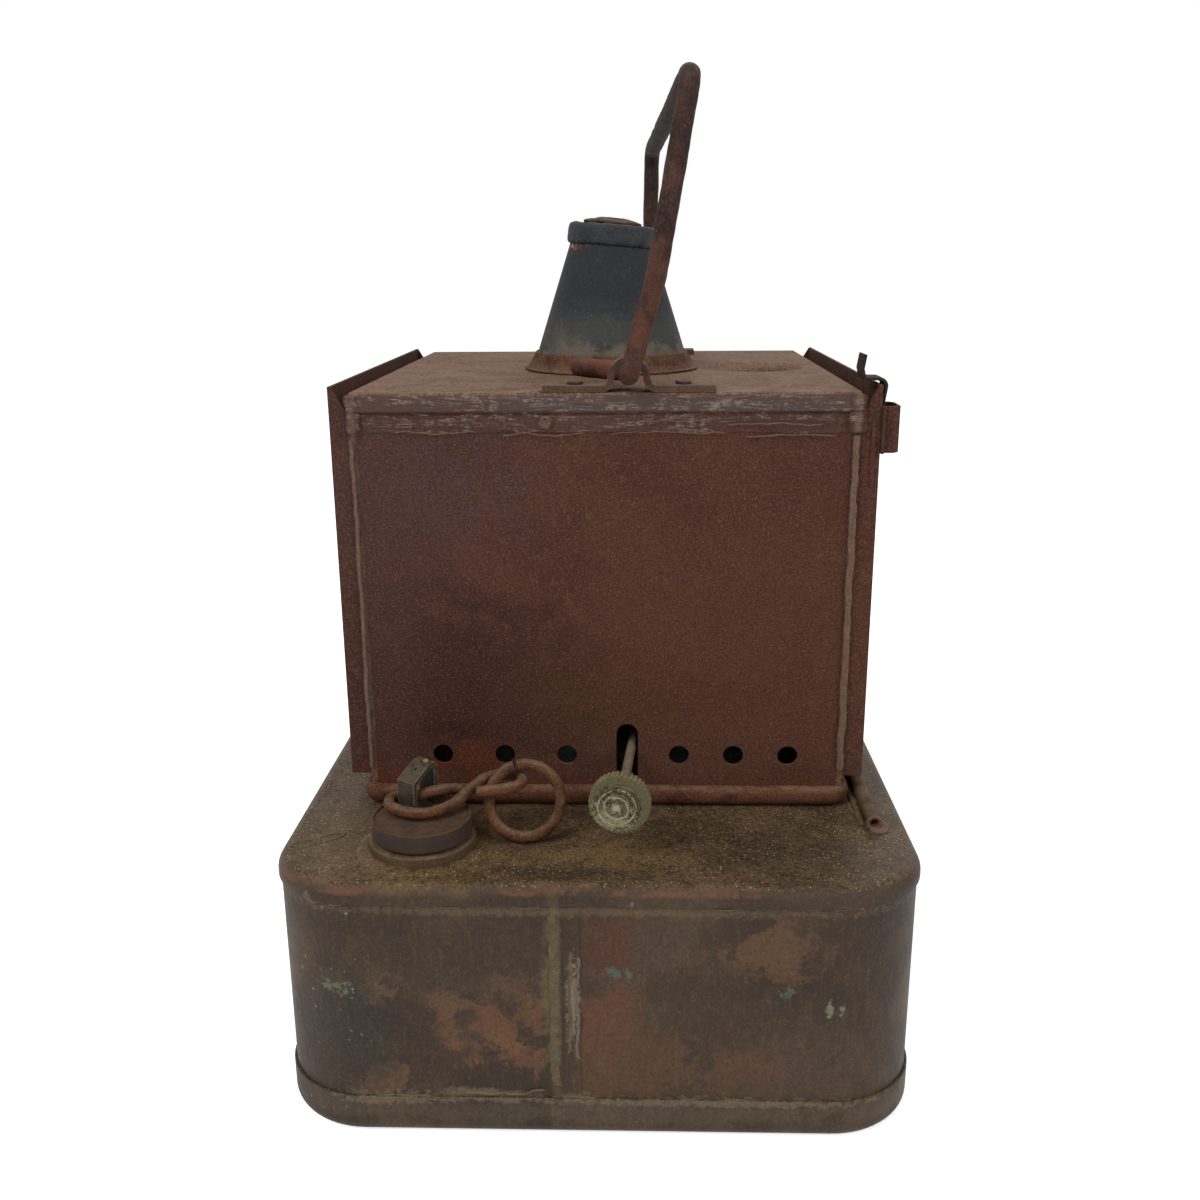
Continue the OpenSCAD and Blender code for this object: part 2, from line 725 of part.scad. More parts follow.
// Keeper loop on the right pocket, open at top and bottom
module clip_keeper() {
    half = clip_w / 2 + 1.2;
    loop = [[0, -half - 3], [0, -half], [keeper_out - 1.5, -half], [keeper_out, -half + 1.5],
            [keeper_out, half - 1.5], [keeper_out - 1.5, half], [0, half], [0, half + 3]];
    path = [for (p = loop) p + [keeper_t / 2, 0]];
    color("#5a3127") translate([pocket_face_x, clip_y, keeper_top_z - keeper_h])
        linear_extrude(keeper_h) polygon(strip(path, keeper_t));
}

// Spring clip: a finger tab, a low arch over the pocket's edge and a tongue down into the keeper
module spring_clip() {
    tab_x = pocket_face_x - 5.7;
    run_z = pocket_top_z + 1.6;
    bend = 1.3;
    over = 2.4;
    lean = 0.7;
    path = concat(
        [[tab_x + 0.3, lid_z + clip_up], [tab_x - 0.4, lid_z + clip_up * 0.6]],
        arc(tab_x + bend, run_z + bend, bend, 180, 260, 5),
        arc(clip_x + lean - over, run_z - over, over, 82, 0, 8),
        [[clip_x, keeper_top_z + 1], [clip_x, keeper_top_z - keeper_h - 0.4]]);
    color("#3a2f28") translate([0, clip_y + clip_w / 2, 0]) rotate([90, 0, 0])
        linear_extrude(clip_w) polygon(strip(path, clip_t));
}

// Outer radius of the cone at height z
function cone_r(z) = chimney_r + (collar_top_z - z) * cone_slope;

module chimney_collar() {
    color("#6a3a27") translate([chimney_x, chimney_y, 0]) rotate_extrude() polygon([
        [cone_r(cone_foot_z) + running, cone_foot_z], [cone_r(collar_top_z) + running, collar_top_z],
        [cone_r(collar_top_z) + cone_t, collar_top_z], [cone_r(cone_foot_z) + 1.6, cone_foot_z],
        [cone_r(cone_foot_z) + 3.2, lid_z + cone_t], [cone_r(cone_foot_z) + 4.4, lid_z + 0.5],
        [cone_r(cone_foot_z) + 4.4, lid_z], [cone_r(cone_foot_z) - cone_t, lid_z],
        [cone_r(cone_foot_z) - cone_t, cone_foot_z]]);
}

// Places its children on the chimney's top edge, in the tilted plane that the rim lies in
module at_rim() {
    translate([chimney_x, chimney_y, cone_top_z]) rotate([0, rim_tilt, 0]) children();
}

module chimney_cone() {
    spare = chimney_top_r * sin(rim_tilt) + 1;
    tall_z = cone_top_z + spare;
    color("#33383a") difference() {
        translate([chimney_x, chimney_y, 0]) rotate_extrude() polygon([
            [cone_r(cone_foot_z), cone_foot_z], [cone_r(tall_z), tall_z],
            [cone_r(tall_z) - cone_t, tall_z], [cone_r(cone_foot_z) - cone_t, cone_foot_z]]);
        at_rim() translate([-chimney_r, -chimney_r, 0]) cube([2 * chimney_r, 2 * chimney_r, 3 * spare]);
    }
}

module chimney_rim() {
    color("#35393b") at_rim() rotate_extrude() polygon([
        [rim_r - rim_t, 0], [rim_r - 0.7, 0], [rim_r, 0.9], [rim_r, rim_h - 1.4],
        [rim_r - 0.5, rim_h - 0.4], [rim_r - 1.3, rim_h], [rim_r - rim_t, rim_h - 0.6]]);
}

// Domed baffle in the chimney's mouth, on a post and three arms that end under the rim
module chimney_baffle() {
    plate_r = rim_r - rim_t - 3;
    bore_r = chimney_top_r - cone_t - cone_slope * chimney_top_r * sin(rim_tilt);
    arm_r = rim_r - rim_t + (bore_r - rim_r + rim_t) * 0.8;
    arm_w = 3;
    arm_t = 1.2;
    plate_z = rim_h - 0.2;
    color("#5a3c2e") at_rim() {
        rotate_extrude() polygon([[0, plate_z], [0, plate_z + 2.8], [plate_r * 0.5, plate_z + 2.4],
            [plate_r, plate_z + 1.1], [plate_r, plate_z]]);
        translate([0, 0, -arm_t]) cylinder(h = plate_z + arm_t, r = 1.6);
        for (k = [0 : 2]) rotate([0, 0, 120 * k + 20])
            translate([0, -arm_w / 2, -arm_t]) cube([arm_r, arm_w, arm_t]);
    }
}

// Bail bracket: a strap with two flat feet and an arch over the bail's pivot
module bracket(y) {
    mid_r = arch_r + strap_t / 2;
    foot_z0 = strap_t / 2;
    rise = arch_z - lid_z;
    foot_bend = rise - foot_z0;
    side_x = mid_r + foot_bend;
    half = concat(
        [[strap_l / 2, foot_z0]],
        arc(side_x, rise, foot_bend, 270, 180, 6),
        arc(0, rise, mid_r, 9, 90, 9));
    path = concat(half, [for (i = [len(half) - 2 : -1 : 0]) [-half[i][0], half[i][1]]]);
    translate([pivot_x, y + strap_w, lid_z]) rotate([90, 0, 0]) difference() {
        linear_extrude(strap_w) polygon(strip(path, strap_t));
        for (s = [-1, 1]) translate([s * rivet_out, -1, strap_w / 2]) rotate([-90, 0, 0])
            cylinder(h = 4 + strap_t, r = rivet_shank_r + running);
    }
}

module rear_bracket() {
    color("#4a3730") bracket(bracket_ys[0]);
}

module front_bracket() {
    color("#4a3730") bracket(bracket_ys[1]);
}

// Rivets of both brackets: a head on the strap, a shank and a clenched tail under the lid
module bracket_rivets() {
    color("#4d3a33") for (y = bracket_ys, s = [-1, 1])
        translate([pivot_x + s * rivet_out, y + strap_w / 2, lid_z]) {
            translate([0, 0, strap_t]) cylinder(h = rivet_h, r = rivet_r);
            translate([0, 0, -iron_t - 0.5]) cylinder(h = iron_t + strap_t + 0.8, r = rivet_shank_r);
            translate([0, 0, -iron_t - 0.9]) cylinder(h = 0.9, r = rivet_shank_r + 0.8);
        }
}

// How far the bail's rod leans to the right, y forwards of the rear leg and h above the pivots
function bail_x(y, h) =
    let (over = max(0, h - bail_kink),
         lean = bail_lean_rear + (bail_lean_front - bail_lean_rear) * y / bail_span)
    (h - over) * tan(bail_lean) + over * tan(lean);

// Wire bail: both ends turn in through the brackets, and the rear end goes on as a bent stub.
// Its bow is drawn flat, forwards and up, and then leans to the right.
module bail_handle() {
    rear_in = bracket_ys[0] + strap_w + 0.6 - bail_rear_y;
    front_in = bail_front_y - bracket_ys[1] + 3.5;
    t_rear = bail_bend * tan(45 + bail_slope / 2);
    t_front = bail_bend * tan(45 - bail_slope / 2);
    stub_bend = 8;
    stub_turn = 45;
    stub_l = 21.5;
    stub_end = [-stub_bend + stub_bend * cos(stub_turn), rear_in + stub_bend * sin(stub_turn)];
    kink_steps = [-3, -1, 1, 3];
    stub = concat(
        [stub_end + stub_l * [-sin(stub_turn), cos(stub_turn)]],
        arc(-stub_bend, rear_in, stub_bend, stub_turn, 0, 6));
    bow = concat(
        arc(pivot_bend, pivot_bend, pivot_bend, 270, 180, 8),
        [for (d = kink_steps) [0, bail_kink + d]],
        arc(bail_bend, bail_rear - t_rear, bail_bend, 180, 90 - bail_slope, 10),
        arc(bail_span - bail_bend, bail_front - t_front, bail_bend, 90 - bail_slope, 0, 10),
        [for (d = kink_steps) [bail_span, bail_kink - d]],
        arc(bail_span - pivot_bend, pivot_bend, pivot_bend, 360, 270, 8),
        [[bail_span - front_in, 0]]);
    path = concat([for (p = stub) [p[0], p[1], 0]], [for (p = bow) [bail_x(p[0], p[1]), p[0], p[1]]]);
    color("#5d3428") translate([pivot_x, bail_rear_y, pivot_z])
        wire(path, bail_r, 24, [cos(bail_lean), 0, -sin(bail_lean)]);
}

// Turns a section drawn with x as the radius and y as the way forwards about the lens's axis
module about_lens() {
    translate([lens_x, wall_front_y, lens_z]) rotate([-90, 0, 0]) rotate_extrude() children();
}

module lens_ring() {
    inner_r = lens_r + 2 * running;
    color("#4a3a2c") difference() {
        about_lens() polygon([
            [inner_r, 0], [lens_flange_r, 0], [lens_flange_r, 1.2], [inner_r + barrel_t, 1.2],
            [inner_r + barrel_t, barrel_l], [lens_r - 3.5, barrel_l], [lens_r - 3.5, barrel_l - barrel_t],
            [inner_r, barrel_l - barrel_t]]);
        ring_rivet_places() cylinder(h = 10, r = 1 + running, center = true);
    }
}

// The four places of the lens ring's rivets, with Z along the lens's axis
module ring_rivet_places() {
    for (k = [0 : 3]) translate([lens_x, wall_front_y, lens_z]) rotate([-90, 0, 0])
        rotate([0, 0, 45 + 90 * k]) translate([(lens_r + lens_flange_r + barrel_t) / 2, 0, 0]) children();
}

module lens_packing() {
    color("#2c2620") about_lens() polygon([
        [lens_r - 3.5, lens_edge + running], [lens_r - 0.2, lens_edge + running],
        [lens_r - 0.2, lens_edge + running + packing_t], [lens_r - 3.5, lens_edge + running + packing_t]]);
}

// Bullseye lens: a flat back, a straight edge and a domed front
module lens() {
    dome_r = lens_r - 4;
    sphere_r = (dome_r * dome_r + lens_bulge * lens_bulge) / (2 * lens_bulge);
    sweep = asin(dome_r / sphere_r);
    dome = arc(0, lens_edge + lens_bulge - sphere_r, sphere_r, 90 - sweep, 90, 16);
    color("#cfe0e6") about_lens() polygon(concat([[0, 0], [lens_r, 0], [lens_r, lens_edge]], dome));
}

module lens_ring_rivets() {
    color("#4a3a2c") ring_rivet_places() {
        translate([0, 0, 1.2]) cylinder(h = 1, r = 1.8);
        translate([0, 0, -iron_t - 0.6]) cylinder(h = iron_t + 2, r = 1);
    }
}

tank_wall();
tank_top();
tank_bottom();
filler_boss();
cap_washer();
filler_cap();
cap_lug();
cap_link();
split_ring();
burner_collar();
burner_base();
wick_tube();
wick();
winder_bracket();
burner_shell();
burner_dome();
winder_spindle();
winder_wheels();
winder_knob();
hinge_tubes();
hinge_pin();
case_knuckles();
base_bead();
rear_wall();
front_wall();
left_wall();
right_wall();
case_lid();
left_pocket();
right_pocket();
clip_keeper();
spring_clip();
chimney_collar();
chimney_cone();
chimney_rim();
chimney_baffle();
rear_bracket();
front_bracket();
bracket_rivets();
bail_handle();
lens_ring();
lens_packing();
lens();
lens_ring_rivets();
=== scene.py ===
"""Looks of the railway signal lamp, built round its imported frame.

Lengths are in metres. The lamp's rear, with the winder knob and the filler, faces the camera.
Places on the lamp, such as a patch of bare copper, are written in millimetres and turned into
metres by mm().
"""

import logging
import math
from dataclasses import dataclass
from enum import Enum
from functools import reduce
from typing import Callable, Optional, Protocol, Sequence

import bpy
from mathutils import Matrix, Vector


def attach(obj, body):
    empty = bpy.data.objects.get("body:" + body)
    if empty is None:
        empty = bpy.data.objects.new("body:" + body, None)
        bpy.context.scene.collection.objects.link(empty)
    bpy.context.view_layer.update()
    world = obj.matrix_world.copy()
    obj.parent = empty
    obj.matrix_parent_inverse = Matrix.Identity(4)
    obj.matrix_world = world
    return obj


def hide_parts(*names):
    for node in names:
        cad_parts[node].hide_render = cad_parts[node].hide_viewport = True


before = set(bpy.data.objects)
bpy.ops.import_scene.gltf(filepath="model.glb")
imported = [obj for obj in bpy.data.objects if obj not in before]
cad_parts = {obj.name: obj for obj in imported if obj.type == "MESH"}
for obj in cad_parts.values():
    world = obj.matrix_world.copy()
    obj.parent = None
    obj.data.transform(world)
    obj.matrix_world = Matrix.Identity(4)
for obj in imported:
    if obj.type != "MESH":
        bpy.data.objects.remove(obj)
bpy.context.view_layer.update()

log = logging.getLogger("lamp")

Point = tuple[float, float, float]
Socket = bpy.types.NodeSocket

# A mark narrower than this, in millimetres, has its edge broken up more finely.
FINE_MARK = 2

# Edges sharper than this, in degrees, are rounded and shaded as edges.
EDGE_ANGLE = 40.0

# Corners of a copied node closer than this, in metres, are merged, and faces flatter than this, in degrees, joined.
MERGE_REACH = 2e-6
FLAT_ANGLE = 0.6


class Body(Enum):
    """The bodies that a piece can ride on."""

    FOUNT = "fount"
    CASE = "case"
    BAIL = "bail"
    CLIP = "clip"
    WINDER = "winder"
    WICK = "wick"
    SEAL = "seal"
    CAP = "cap"
    LINK = "link"
    RING = "ring"


class Axis(Enum):
    """The axes of the frame."""

    X = 0
    Y = 1
    Z = 2


def mm(*values: float) -> tuple[float, ...]:
    """Turns millimetres into metres."""
    return tuple(value / 1000 for value in values)


def linear(code: str) -> tuple[float, float, float, float]:
    """Turns a colour as it looks on screen into the value that a shader takes.

    Args:
        code: The colour as six hexadecimal digits after a hash mark.

    Returns:
        Red, green, blue and alpha.
    """
    digits = code.lstrip("#")
    parts = [int(digits[i : i + 2], 16) / 255 for i in (0, 2, 4)]
    red, green, blue = [p / 12.92 if p <= 0.04045 else ((p + 0.055) / 1.055) ** 2.4 for p in parts]
    return (red, green, blue, 1.0)


@dataclass(frozen=True)
class Mark:
    """One patch of another colour at a place on the lamp, in millimetres."""

    centre: Point
    reach: Point
    colour: str
    strength: float = 0.6
    soft: float = 0.45
    ragged: float = 0.5


class Tree:
    """A node tree, with a short way to add nodes and to combine their values."""

    def __init__(self, tree: bpy.types.NodeTree) -> None:
        """Starts with an empty tree."""
        self.tree = tree
        self.tree.nodes.clear()

    def add(self, kind: str, inputs: Optional[dict] = None, **settings: object) -> bpy.types.Node:
        """Adds a node.

        Args:
            kind: The node's type.
            inputs: A socket or a value for each named input.
            settings: The node's own settings.

        Returns:
            The new node.
        """
        node = self.tree.nodes.new(kind)
        for key, value in settings.items():
            setattr(node, key, value)
        for key, value in (inputs or {}).items():
            if isinstance(value, Socket):
                self.tree.links.new(value, node.inputs[key])
            else:
                node.inputs[key].default_value = value
        return node

    def sum(self, kind: str, a: object, b: object) -> Socket:
        """Returns a sum, product or other result of two values."""
        return self.add("ShaderNodeMath", {0: a, 1: b}, operation=kind).outputs[0]

    def times(self, *values: object) -> Socket:
        """Returns the product of the values."""
        return reduce(lambda a, b: self.sum("MULTIPLY", a, b), values)

    def most(self, *values: object) -> Socket:
        """Returns the largest of the values."""
        return reduce(lambda a, b: self.sum("MAXIMUM", a, b), values)

    def seen(self) -> Socket:
        """Returns 1 for light that reaches the camera straight, by a reflection or through glass."""
        path = self.add("ShaderNodeLightPath").outputs
        return self.most(*(path[f"Is {kind} Ray"] for kind in ("Camera", "Glossy", "Transmission")))


class Surface(Tree):
    """The node tree of one finish, with a short method for each step of a pattern."""

    def __init__(self, name: str, colour: str = "#ffffff") -> None:
        """Starts a material.

        Args:
            name: The material's name.
            colour: The colour that everything else is laid over.
        """
        self.material = bpy.data.materials.new(name)
        self.material.use_nodes = True
        super().__init__(self.material.node_tree)
        self.colour: object = colour
        self.place = self.add("ShaderNodeTexCoord").outputs["Object"]
        self.along = dict(zip(Axis, self.add("ShaderNodeSeparateXYZ", {"Vector": self.place}).outputs))
        self.facing = self.add("ShaderNodeNewGeometry").outputs["Normal"]
        self.upwards = self.add("ShaderNodeSeparateXYZ", {"Vector": self.facing}).outputs[2]

    def stretched(self, x: float, y: float, z: float) -> Socket:
        """Returns the place with each axis multiplied, for streaks."""
        return self.add("ShaderNodeMapping", {"Vector": self.place, "Scale": (x, y, z)}).outputs[0]

    def noise(self, size: float, detail: float = 6.0, rough: float = 0.6, twist: float = 0.0,
              place: Optional[Socket] = None) -> Socket:
        """Makes a cloudy pattern.

        Args:
            size: The size of its largest features.
            detail: How many finer layers it has.
            rough: How strong the finer layers are.
            twist: How far its edges wander.
            place: Where it is read, if not at the piece's own place.

        Returns:
            The pattern, from 0 to 1.
        """
        vector = place or self.place
        inputs = {"Vector": vector, "Scale": 1 / size, "Detail": detail, "Roughness": rough, "Distortion": twist}
        return self.add("ShaderNodeTexNoise", inputs).outputs["Fac"]

    def grains(self, size: float) -> Socket:
        """Returns the distance to the nearest grain, for grains of that spacing."""
        return self.add("ShaderNodeTexVoronoi", {"Vector": self.place, "Scale": 1 / size}).outputs["Distance"]

    def edges(self, reach: float) -> Socket:
        """Returns a mask of the piece's edges, where a normal rounded over the reach leaves the plain one."""
        rounded = self.add("ShaderNodeBevel", {"Radius": reach}).outputs[0]
        gap = self.add("ShaderNodeVectorMath", {0: rounded, 1: self.facing}, operation="DISTANCE").outputs["Value"]
        return self.ramp(gap, 0.15, 0.5)

    def ramp(self, value: Socket, low: float, high: float) -> Socket:
        """Returns 0 below low and 1 above high, or the other way round if low is the larger."""
        inputs = {"Value": value, "From Min": low, "From Max": high}
        return self.add("ShaderNodeMapRange", inputs, interpolation_type="SMOOTHSTEP").outputs[0]

    def shifted(self, value: Socket, pattern: Optional[Socket], reach: float) -> Socket:
        """Returns a value pushed up and down by a pattern, or as it is without one."""
        if pattern is None:
            return value
        return self.sum("ADD", value, self.times(self.sum("SUBTRACT", pattern, 0.5), 2 * reach))

    def vein(self, pattern: Socket, half: float) -> Socket:
        """Returns thin wandering lines, where a pattern crosses its middle."""
        off = self.add("ShaderNodeMath", {0: self.sum("SUBTRACT", pattern, 0.5)}, operation="ABSOLUTE").outputs[0]
        return self.ramp(off, half, half * 0.3)

    def band(self, axis: Axis, low: float, high: float, soft: float, wander: Optional[Socket] = None,
             reach: float = 0.0) -> Socket:
        """Makes a mask that is 1 between two planes.

        Args:
            axis: The axis that the planes stand across.
            low: The place of the lower plane.
            high: The place of the upper plane.
            soft: How far the mask takes to fade.
            wander: A pattern that shifts the planes.
            reach: How far it shifts them.

        Returns:
            The mask.
        """
        value = self.shifted(self.along[axis], wander, reach)
        rise = self.ramp(value, low - soft, low + soft)
        fall = self.ramp(value, high + soft, high - soft)
        return self.times(rise, fall)

    def away(self, centre: Sequence[float], reach: Sequence[float]) -> Socket:
        """Returns the distance from a point, with each axis counted in its own reach."""
        gap = self.add("ShaderNodeVectorMath", {0: self.place, 1: tuple(centre)}, operation="SUBTRACT").outputs[0]
        inverse = tuple(1 / r for r in reach)
        scaled = self.add("ShaderNodeVectorMath", {0: gap, 1: inverse}, operation="MULTIPLY").outputs[0]
        return self.add("ShaderNodeVectorMath", {0: scaled}, operation="LENGTH").outputs["Value"]

    def marks(self, marks: Sequence[Mark], ragged: Socket) -> None:
        """Lays patches of other colours over the surface.

        Args:
            marks: The patches.
            ragged: A pattern that breaks up their edges.
        """
        torn = self.ramp(ragged, 0.3, 0.7)
        crumbled = self.ramp(self.noise(0.0022, 6, 0.75), 0.3, 0.7)
        for mark in marks:
            pattern = crumbled if min(mark.reach[0], mark.reach[2]) < FINE_MARK else torn
            far = self.shifted(self.away(mm(*mark.centre), mm(*mark.reach)), pattern, mark.ragged)
            self.coat(mark.colour, self.ramp(far, 1 + mark.soft, 1 - mark.soft), mark.strength)

    def coat(self, over: str, *masks: object) -> None:
        """Lays another colour over the surface.

        Args:
            over: The other colour's code.
            masks: Where and how strongly it shows: values that are multiplied.
        """
        node = self.add("ShaderNodeMix", data_type="RGBA")
        for key, value in (("Factor", self.times(*masks)), ("A", self.colour), ("B", over)):
            wanted = next(s for s in node.inputs
                          if s.name == key and s.enabled and (s.type == "RGBA") == (key != "Factor"))
            if isinstance(value, str):
                wanted.default_value = linear(value)
            else:
                self.tree.links.new(value, wanted)
        self.colour = next(s for s in node.outputs if s.type == "RGBA")

    def bump(self, height: Socket, depth: float, under: Optional[Socket] = None) -> Socket:
        """Returns a normal roughened by a height pattern of that depth."""
        inputs: dict = {"Height": height, "Distance": depth, "Strength": 1.0}
        if under is not None:
            inputs["Normal"] = under
        return self.add("ShaderNodeBump", inputs).outputs[0]

    def close(self, rough: object, metal: object = 0.0, normal: Optional[Socket] = None,
              **extra: object) -> bpy.types.Material:
        """Ends the material in its shader.

        Args:
            rough: The roughness.
            metal: How metallic it is.
            normal: The roughened normal.
            extra: Further shader inputs, with an underscore for each blank.

        Returns:
            The material.
        """
        inputs: dict = {"Base Color": self.colour, "Roughness": rough, "Metallic": metal}
        if normal is not None:
            inputs["Normal"] = normal
        inputs.update({key.replace("_", " "): value for key, value in extra.items()})
        shader = self.add("ShaderNodeBsdfPrincipled", inputs)
        self.add("ShaderNodeOutputMaterial", {"Surface": shader.outputs[0]})
        return self.material


class Finish(Protocol):
    """A finish, which builds its own material."""

    name: str

    def build(self) -> bpy.types.Material:
        """Returns the finished material."""


@dataclass(frozen=True)
class Rust:
    """Iron sheet or rod under fine granular rust and dust."""

    name: str
    deep: str
    middle: str
    bright: str
    dust: str
    dust_share: float = 0.35
    grain: float = 0.0007
    grit: float = 0.45
    relief: float = 0.00012
    patch: float = 0.03
    cloudy: float = 0.35
    specks: float = 0.6
    shine: float = 0.08
    wear: float = 0.0
    marks: tuple[Mark, ...] = ()

    def paint(self, s: Surface) -> tuple[Socket, Socket]:
        """Lays the rust on a surface.

        Args:
            s: The surface to paint.

        Returns:
            Its roughness and its normal.
        """
        clouds = s.noise(self.patch, 4, 0.55, 0.3)
        mottle = s.noise(self.grain * 6, 5, 0.7)
        grit = s.noise(self.grain, 3, 0.8)
        s.coat(self.deep, s.ramp(clouds, 0.4, 0.65), self.cloudy)
        s.coat(self.bright, s.ramp(mottle, 0.52, 0.72), 0.4)
        settled = s.ramp(s.noise(self.patch / 2, 6, 0.7), 0.3, 0.65)
        s.coat(self.dust, s.ramp(s.upwards, 0.3, 0.9), settled, self.dust_share)
        s.marks(self.marks, s.noise(0.008, 6, 0.7))
        s.coat(self.deep, s.ramp(grit, 0.5, 0.36), self.grit * 1.2)
        s.coat(self.bright, s.ramp(grit, 0.52, 0.66), self.grit)
        thin = s.ramp(s.noise(self.grain * 14, 3, 0.6), 0.46, 0.6)
        s.coat(self.dust, s.ramp(s.grains(self.grain * 2.3), 0.15, 0.08), thin, self.specks)
        if self.wear:
            s.coat(self.dust, s.edges(self.wear), s.ramp(mottle, 0.4, 0.55), 0.6)
        normal = s.bump(grit, self.relief, s.bump(mottle, self.relief * 3))
        return s.sum("ADD", s.times(grit, 0.25), 0.68), normal

    def build(self) -> bpy.types.Material:
        """Returns the finished material."""
        s = Surface(self.name, self.middle)
        rough, normal = self.paint(s)
        return s.close(rough, 0.0, normal, Specular_IOR_Level=self.shine)


@dataclass(frozen=True)
class CaseRust(Rust):
    """The case's rust, with the soldered band under the lid and solder down its rear corners."""

    band_foot: float = 213.6
    fold: float = 220.4
    band_top: float = 226.6
    corners: tuple[float, float] = (-77.2, 80.6)
    upper: str = "#494040"
    lower: str = "#4e3a33"
    solder: str = "#8a7e73"
    tan: str = "#6f594b"

    def build(self) -> bpy.types.Material:
        """Returns the finished material."""
        s = Surface(self.name, self.middle)
        rough, normal = self.paint(s)
        wander = s.noise(0.02, 4, 0.55)
        fine = s.noise(0.0025, 6, 0.75)
        low, high = self.corners
        face = s.band(Axis.X, *mm(low - 1.6, high + 1.6), 0.0004)
        rear = s.times(s.ramp(s.along[Axis.Y], *mm(-58, -62)), face)
        foot, fold, top = mm(self.band_foot, self.fold, self.band_top)
        low_band = s.times(s.band(Axis.Z, foot, fold, 0.0003, wander, 0.0012), rear)
        upright = s.ramp(s.upwards, 0.8, 0.35)
        high_band = s.times(s.band(Axis.Z, fold, top, 0.0003, wander, 0.0002), rear, upright)
        bands = s.most(low_band, high_band)
        cloud = s.ramp(s.noise(0.014, 5, 0.65, 0.6, s.stretched(0.35, 1, 1.6)), 0.3, 0.6)
        s.coat(self.lower, high_band, 0.9)
        s.coat(self.lower, low_band, cloud, 0.6)
        s.coat(self.upper, high_band, cloud, 0.7)
        streaks = s.noise(0.005, 6, 0.75, 0.4, s.stretched(0.12, 0.5, 1.1))
        s.coat(self.solder, s.ramp(streaks, 0.56, 0.68), s.ramp(fine, 0.42, 0.62), bands, 0.45)
        s.coat(self.solder, s.vein(streaks, 0.03), s.ramp(fine, 0.42, 0.6), bands, 0.65)
        s.coat(self.deep, s.band(Axis.Z, fold - 0.0003, fold + 0.0003, 0.0003, wander, 0.0003), rear, 0.6)
        for x in mm(*self.corners):
            edge = s.band(Axis.X, x - 0.0009, x + 0.0011, 0.0006, wander, 0.0012)
            s.coat(self.tan, edge, rear, s.ramp(fine, 0.3, 0.6), 0.7)
        normal = s.bump(s.times(streaks, bands), 0.0006, normal)
        return s.close(rough, 0.0, normal, Specular_IOR_Level=self.shine)


@dataclass(frozen=True)
class Patina:
    """Copper sheet under a dark brown patina, dusty and gritty on top."""

    name: str
    dark: str
    brown: str
    green: str
    dust: str
    worn: str
    seam: str
    flat: str = "#3f3122"
    pore: str = "#1a140e"
    pit: str = "#241b13"
    gold: str = "#b2986a"
    bloom: str = "#87957f"
    bloom_side: tuple[float, float] = (-60, -76)
    rim: tuple[float, float] = (84.3, 87.1)
    marks: tuple[Mark, ...] = ()

    def build(self) -> bpy.types.Material:
        """Returns the finished material."""
        s = Surface(self.name, self.dark)
        ragged = s.noise(0.014, 8, 0.72, 0.4)
        clouds = s.noise(0.05, 5, 0.6, 0.5)
        mottle = s.noise(0.006, 6, 0.68, 0.4)
        fine = s.noise(0.0009, 4, 0.75)
        brush = s.noise(0.0012, 3, 0.7, 0.0, s.stretched(1, 1, 0.16))
        sideways = s.ramp(s.upwards, 0.45, 0.15)
        flat = s.ramp(s.upwards, 0.6, 0.97)
        s.coat(self.brown, s.ramp(clouds, 0.38, 0.62))
        s.coat(self.dark, s.ramp(ragged, 0.5, 0.62), 0.55)
        s.coat(self.green, s.ramp(ragged, 0.46, 0.36), s.ramp(clouds, 0.5, 0.3), 0.6)
        s.coat(self.flat, flat, 0.8)
        s.coat(self.dust, flat, s.ramp(s.noise(0.018, 8, 0.75, 0.3), 0.38, 0.6), 0.6)
        s.marks(self.marks, ragged)
        s.coat(self.seam, s.ramp(brush, 0.5, 0.68), sideways, 0.12)
        s.coat(self.dark, s.ramp(fine, 0.5, 0.34), 0.55)
        s.coat(self.seam, s.ramp(fine, 0.53, 0.66), s.sum("ADD", s.times(flat, 0.55), 0.2))
        s.coat(self.pore, s.ramp(fine, 0.48, 0.36), flat, 0.8)
        s.coat(self.pit, s.ramp(s.noise(0.0026, 5, 0.75), 0.47, 0.36), flat, 0.6)
        s.coat(self.gold, s.ramp(s.grains(0.0015), 0.2, 0.1), s.ramp(mottle, 0.38, 0.52), flat, 0.9)
        left = s.ramp(s.along[Axis.X], *mm(*self.bloom_side))
        s.coat(self.bloom, s.ramp(s.grains(0.0031), 0.2, 0.1), s.ramp(mottle, 0.5, 0.62), left, sideways, 0.65)
        edge = s.band(Axis.Z, *mm(*self.rim), 0.0005, ragged, 0.001)
        s.coat(self.worn, edge, s.ramp(s.upwards, 0.95, 0.6), s.ramp(ragged, 0.48, 0.58), 0.55)
        rough = s.sum("ADD", s.times(ragged, 0.35), 0.42)
        normal = s.bump(s.noise(0.03, 3, 0.5), 0.0006)
        normal = s.bump(mottle, 0.00028, normal)
        normal = s.bump(fine, 0.00013, normal)
        metal = s.times(s.ramp(ragged, 0.62, 0.4), sideways, 0.25)
        return s.close(rough, metal, normal, Specular_IOR_Level=0.22)


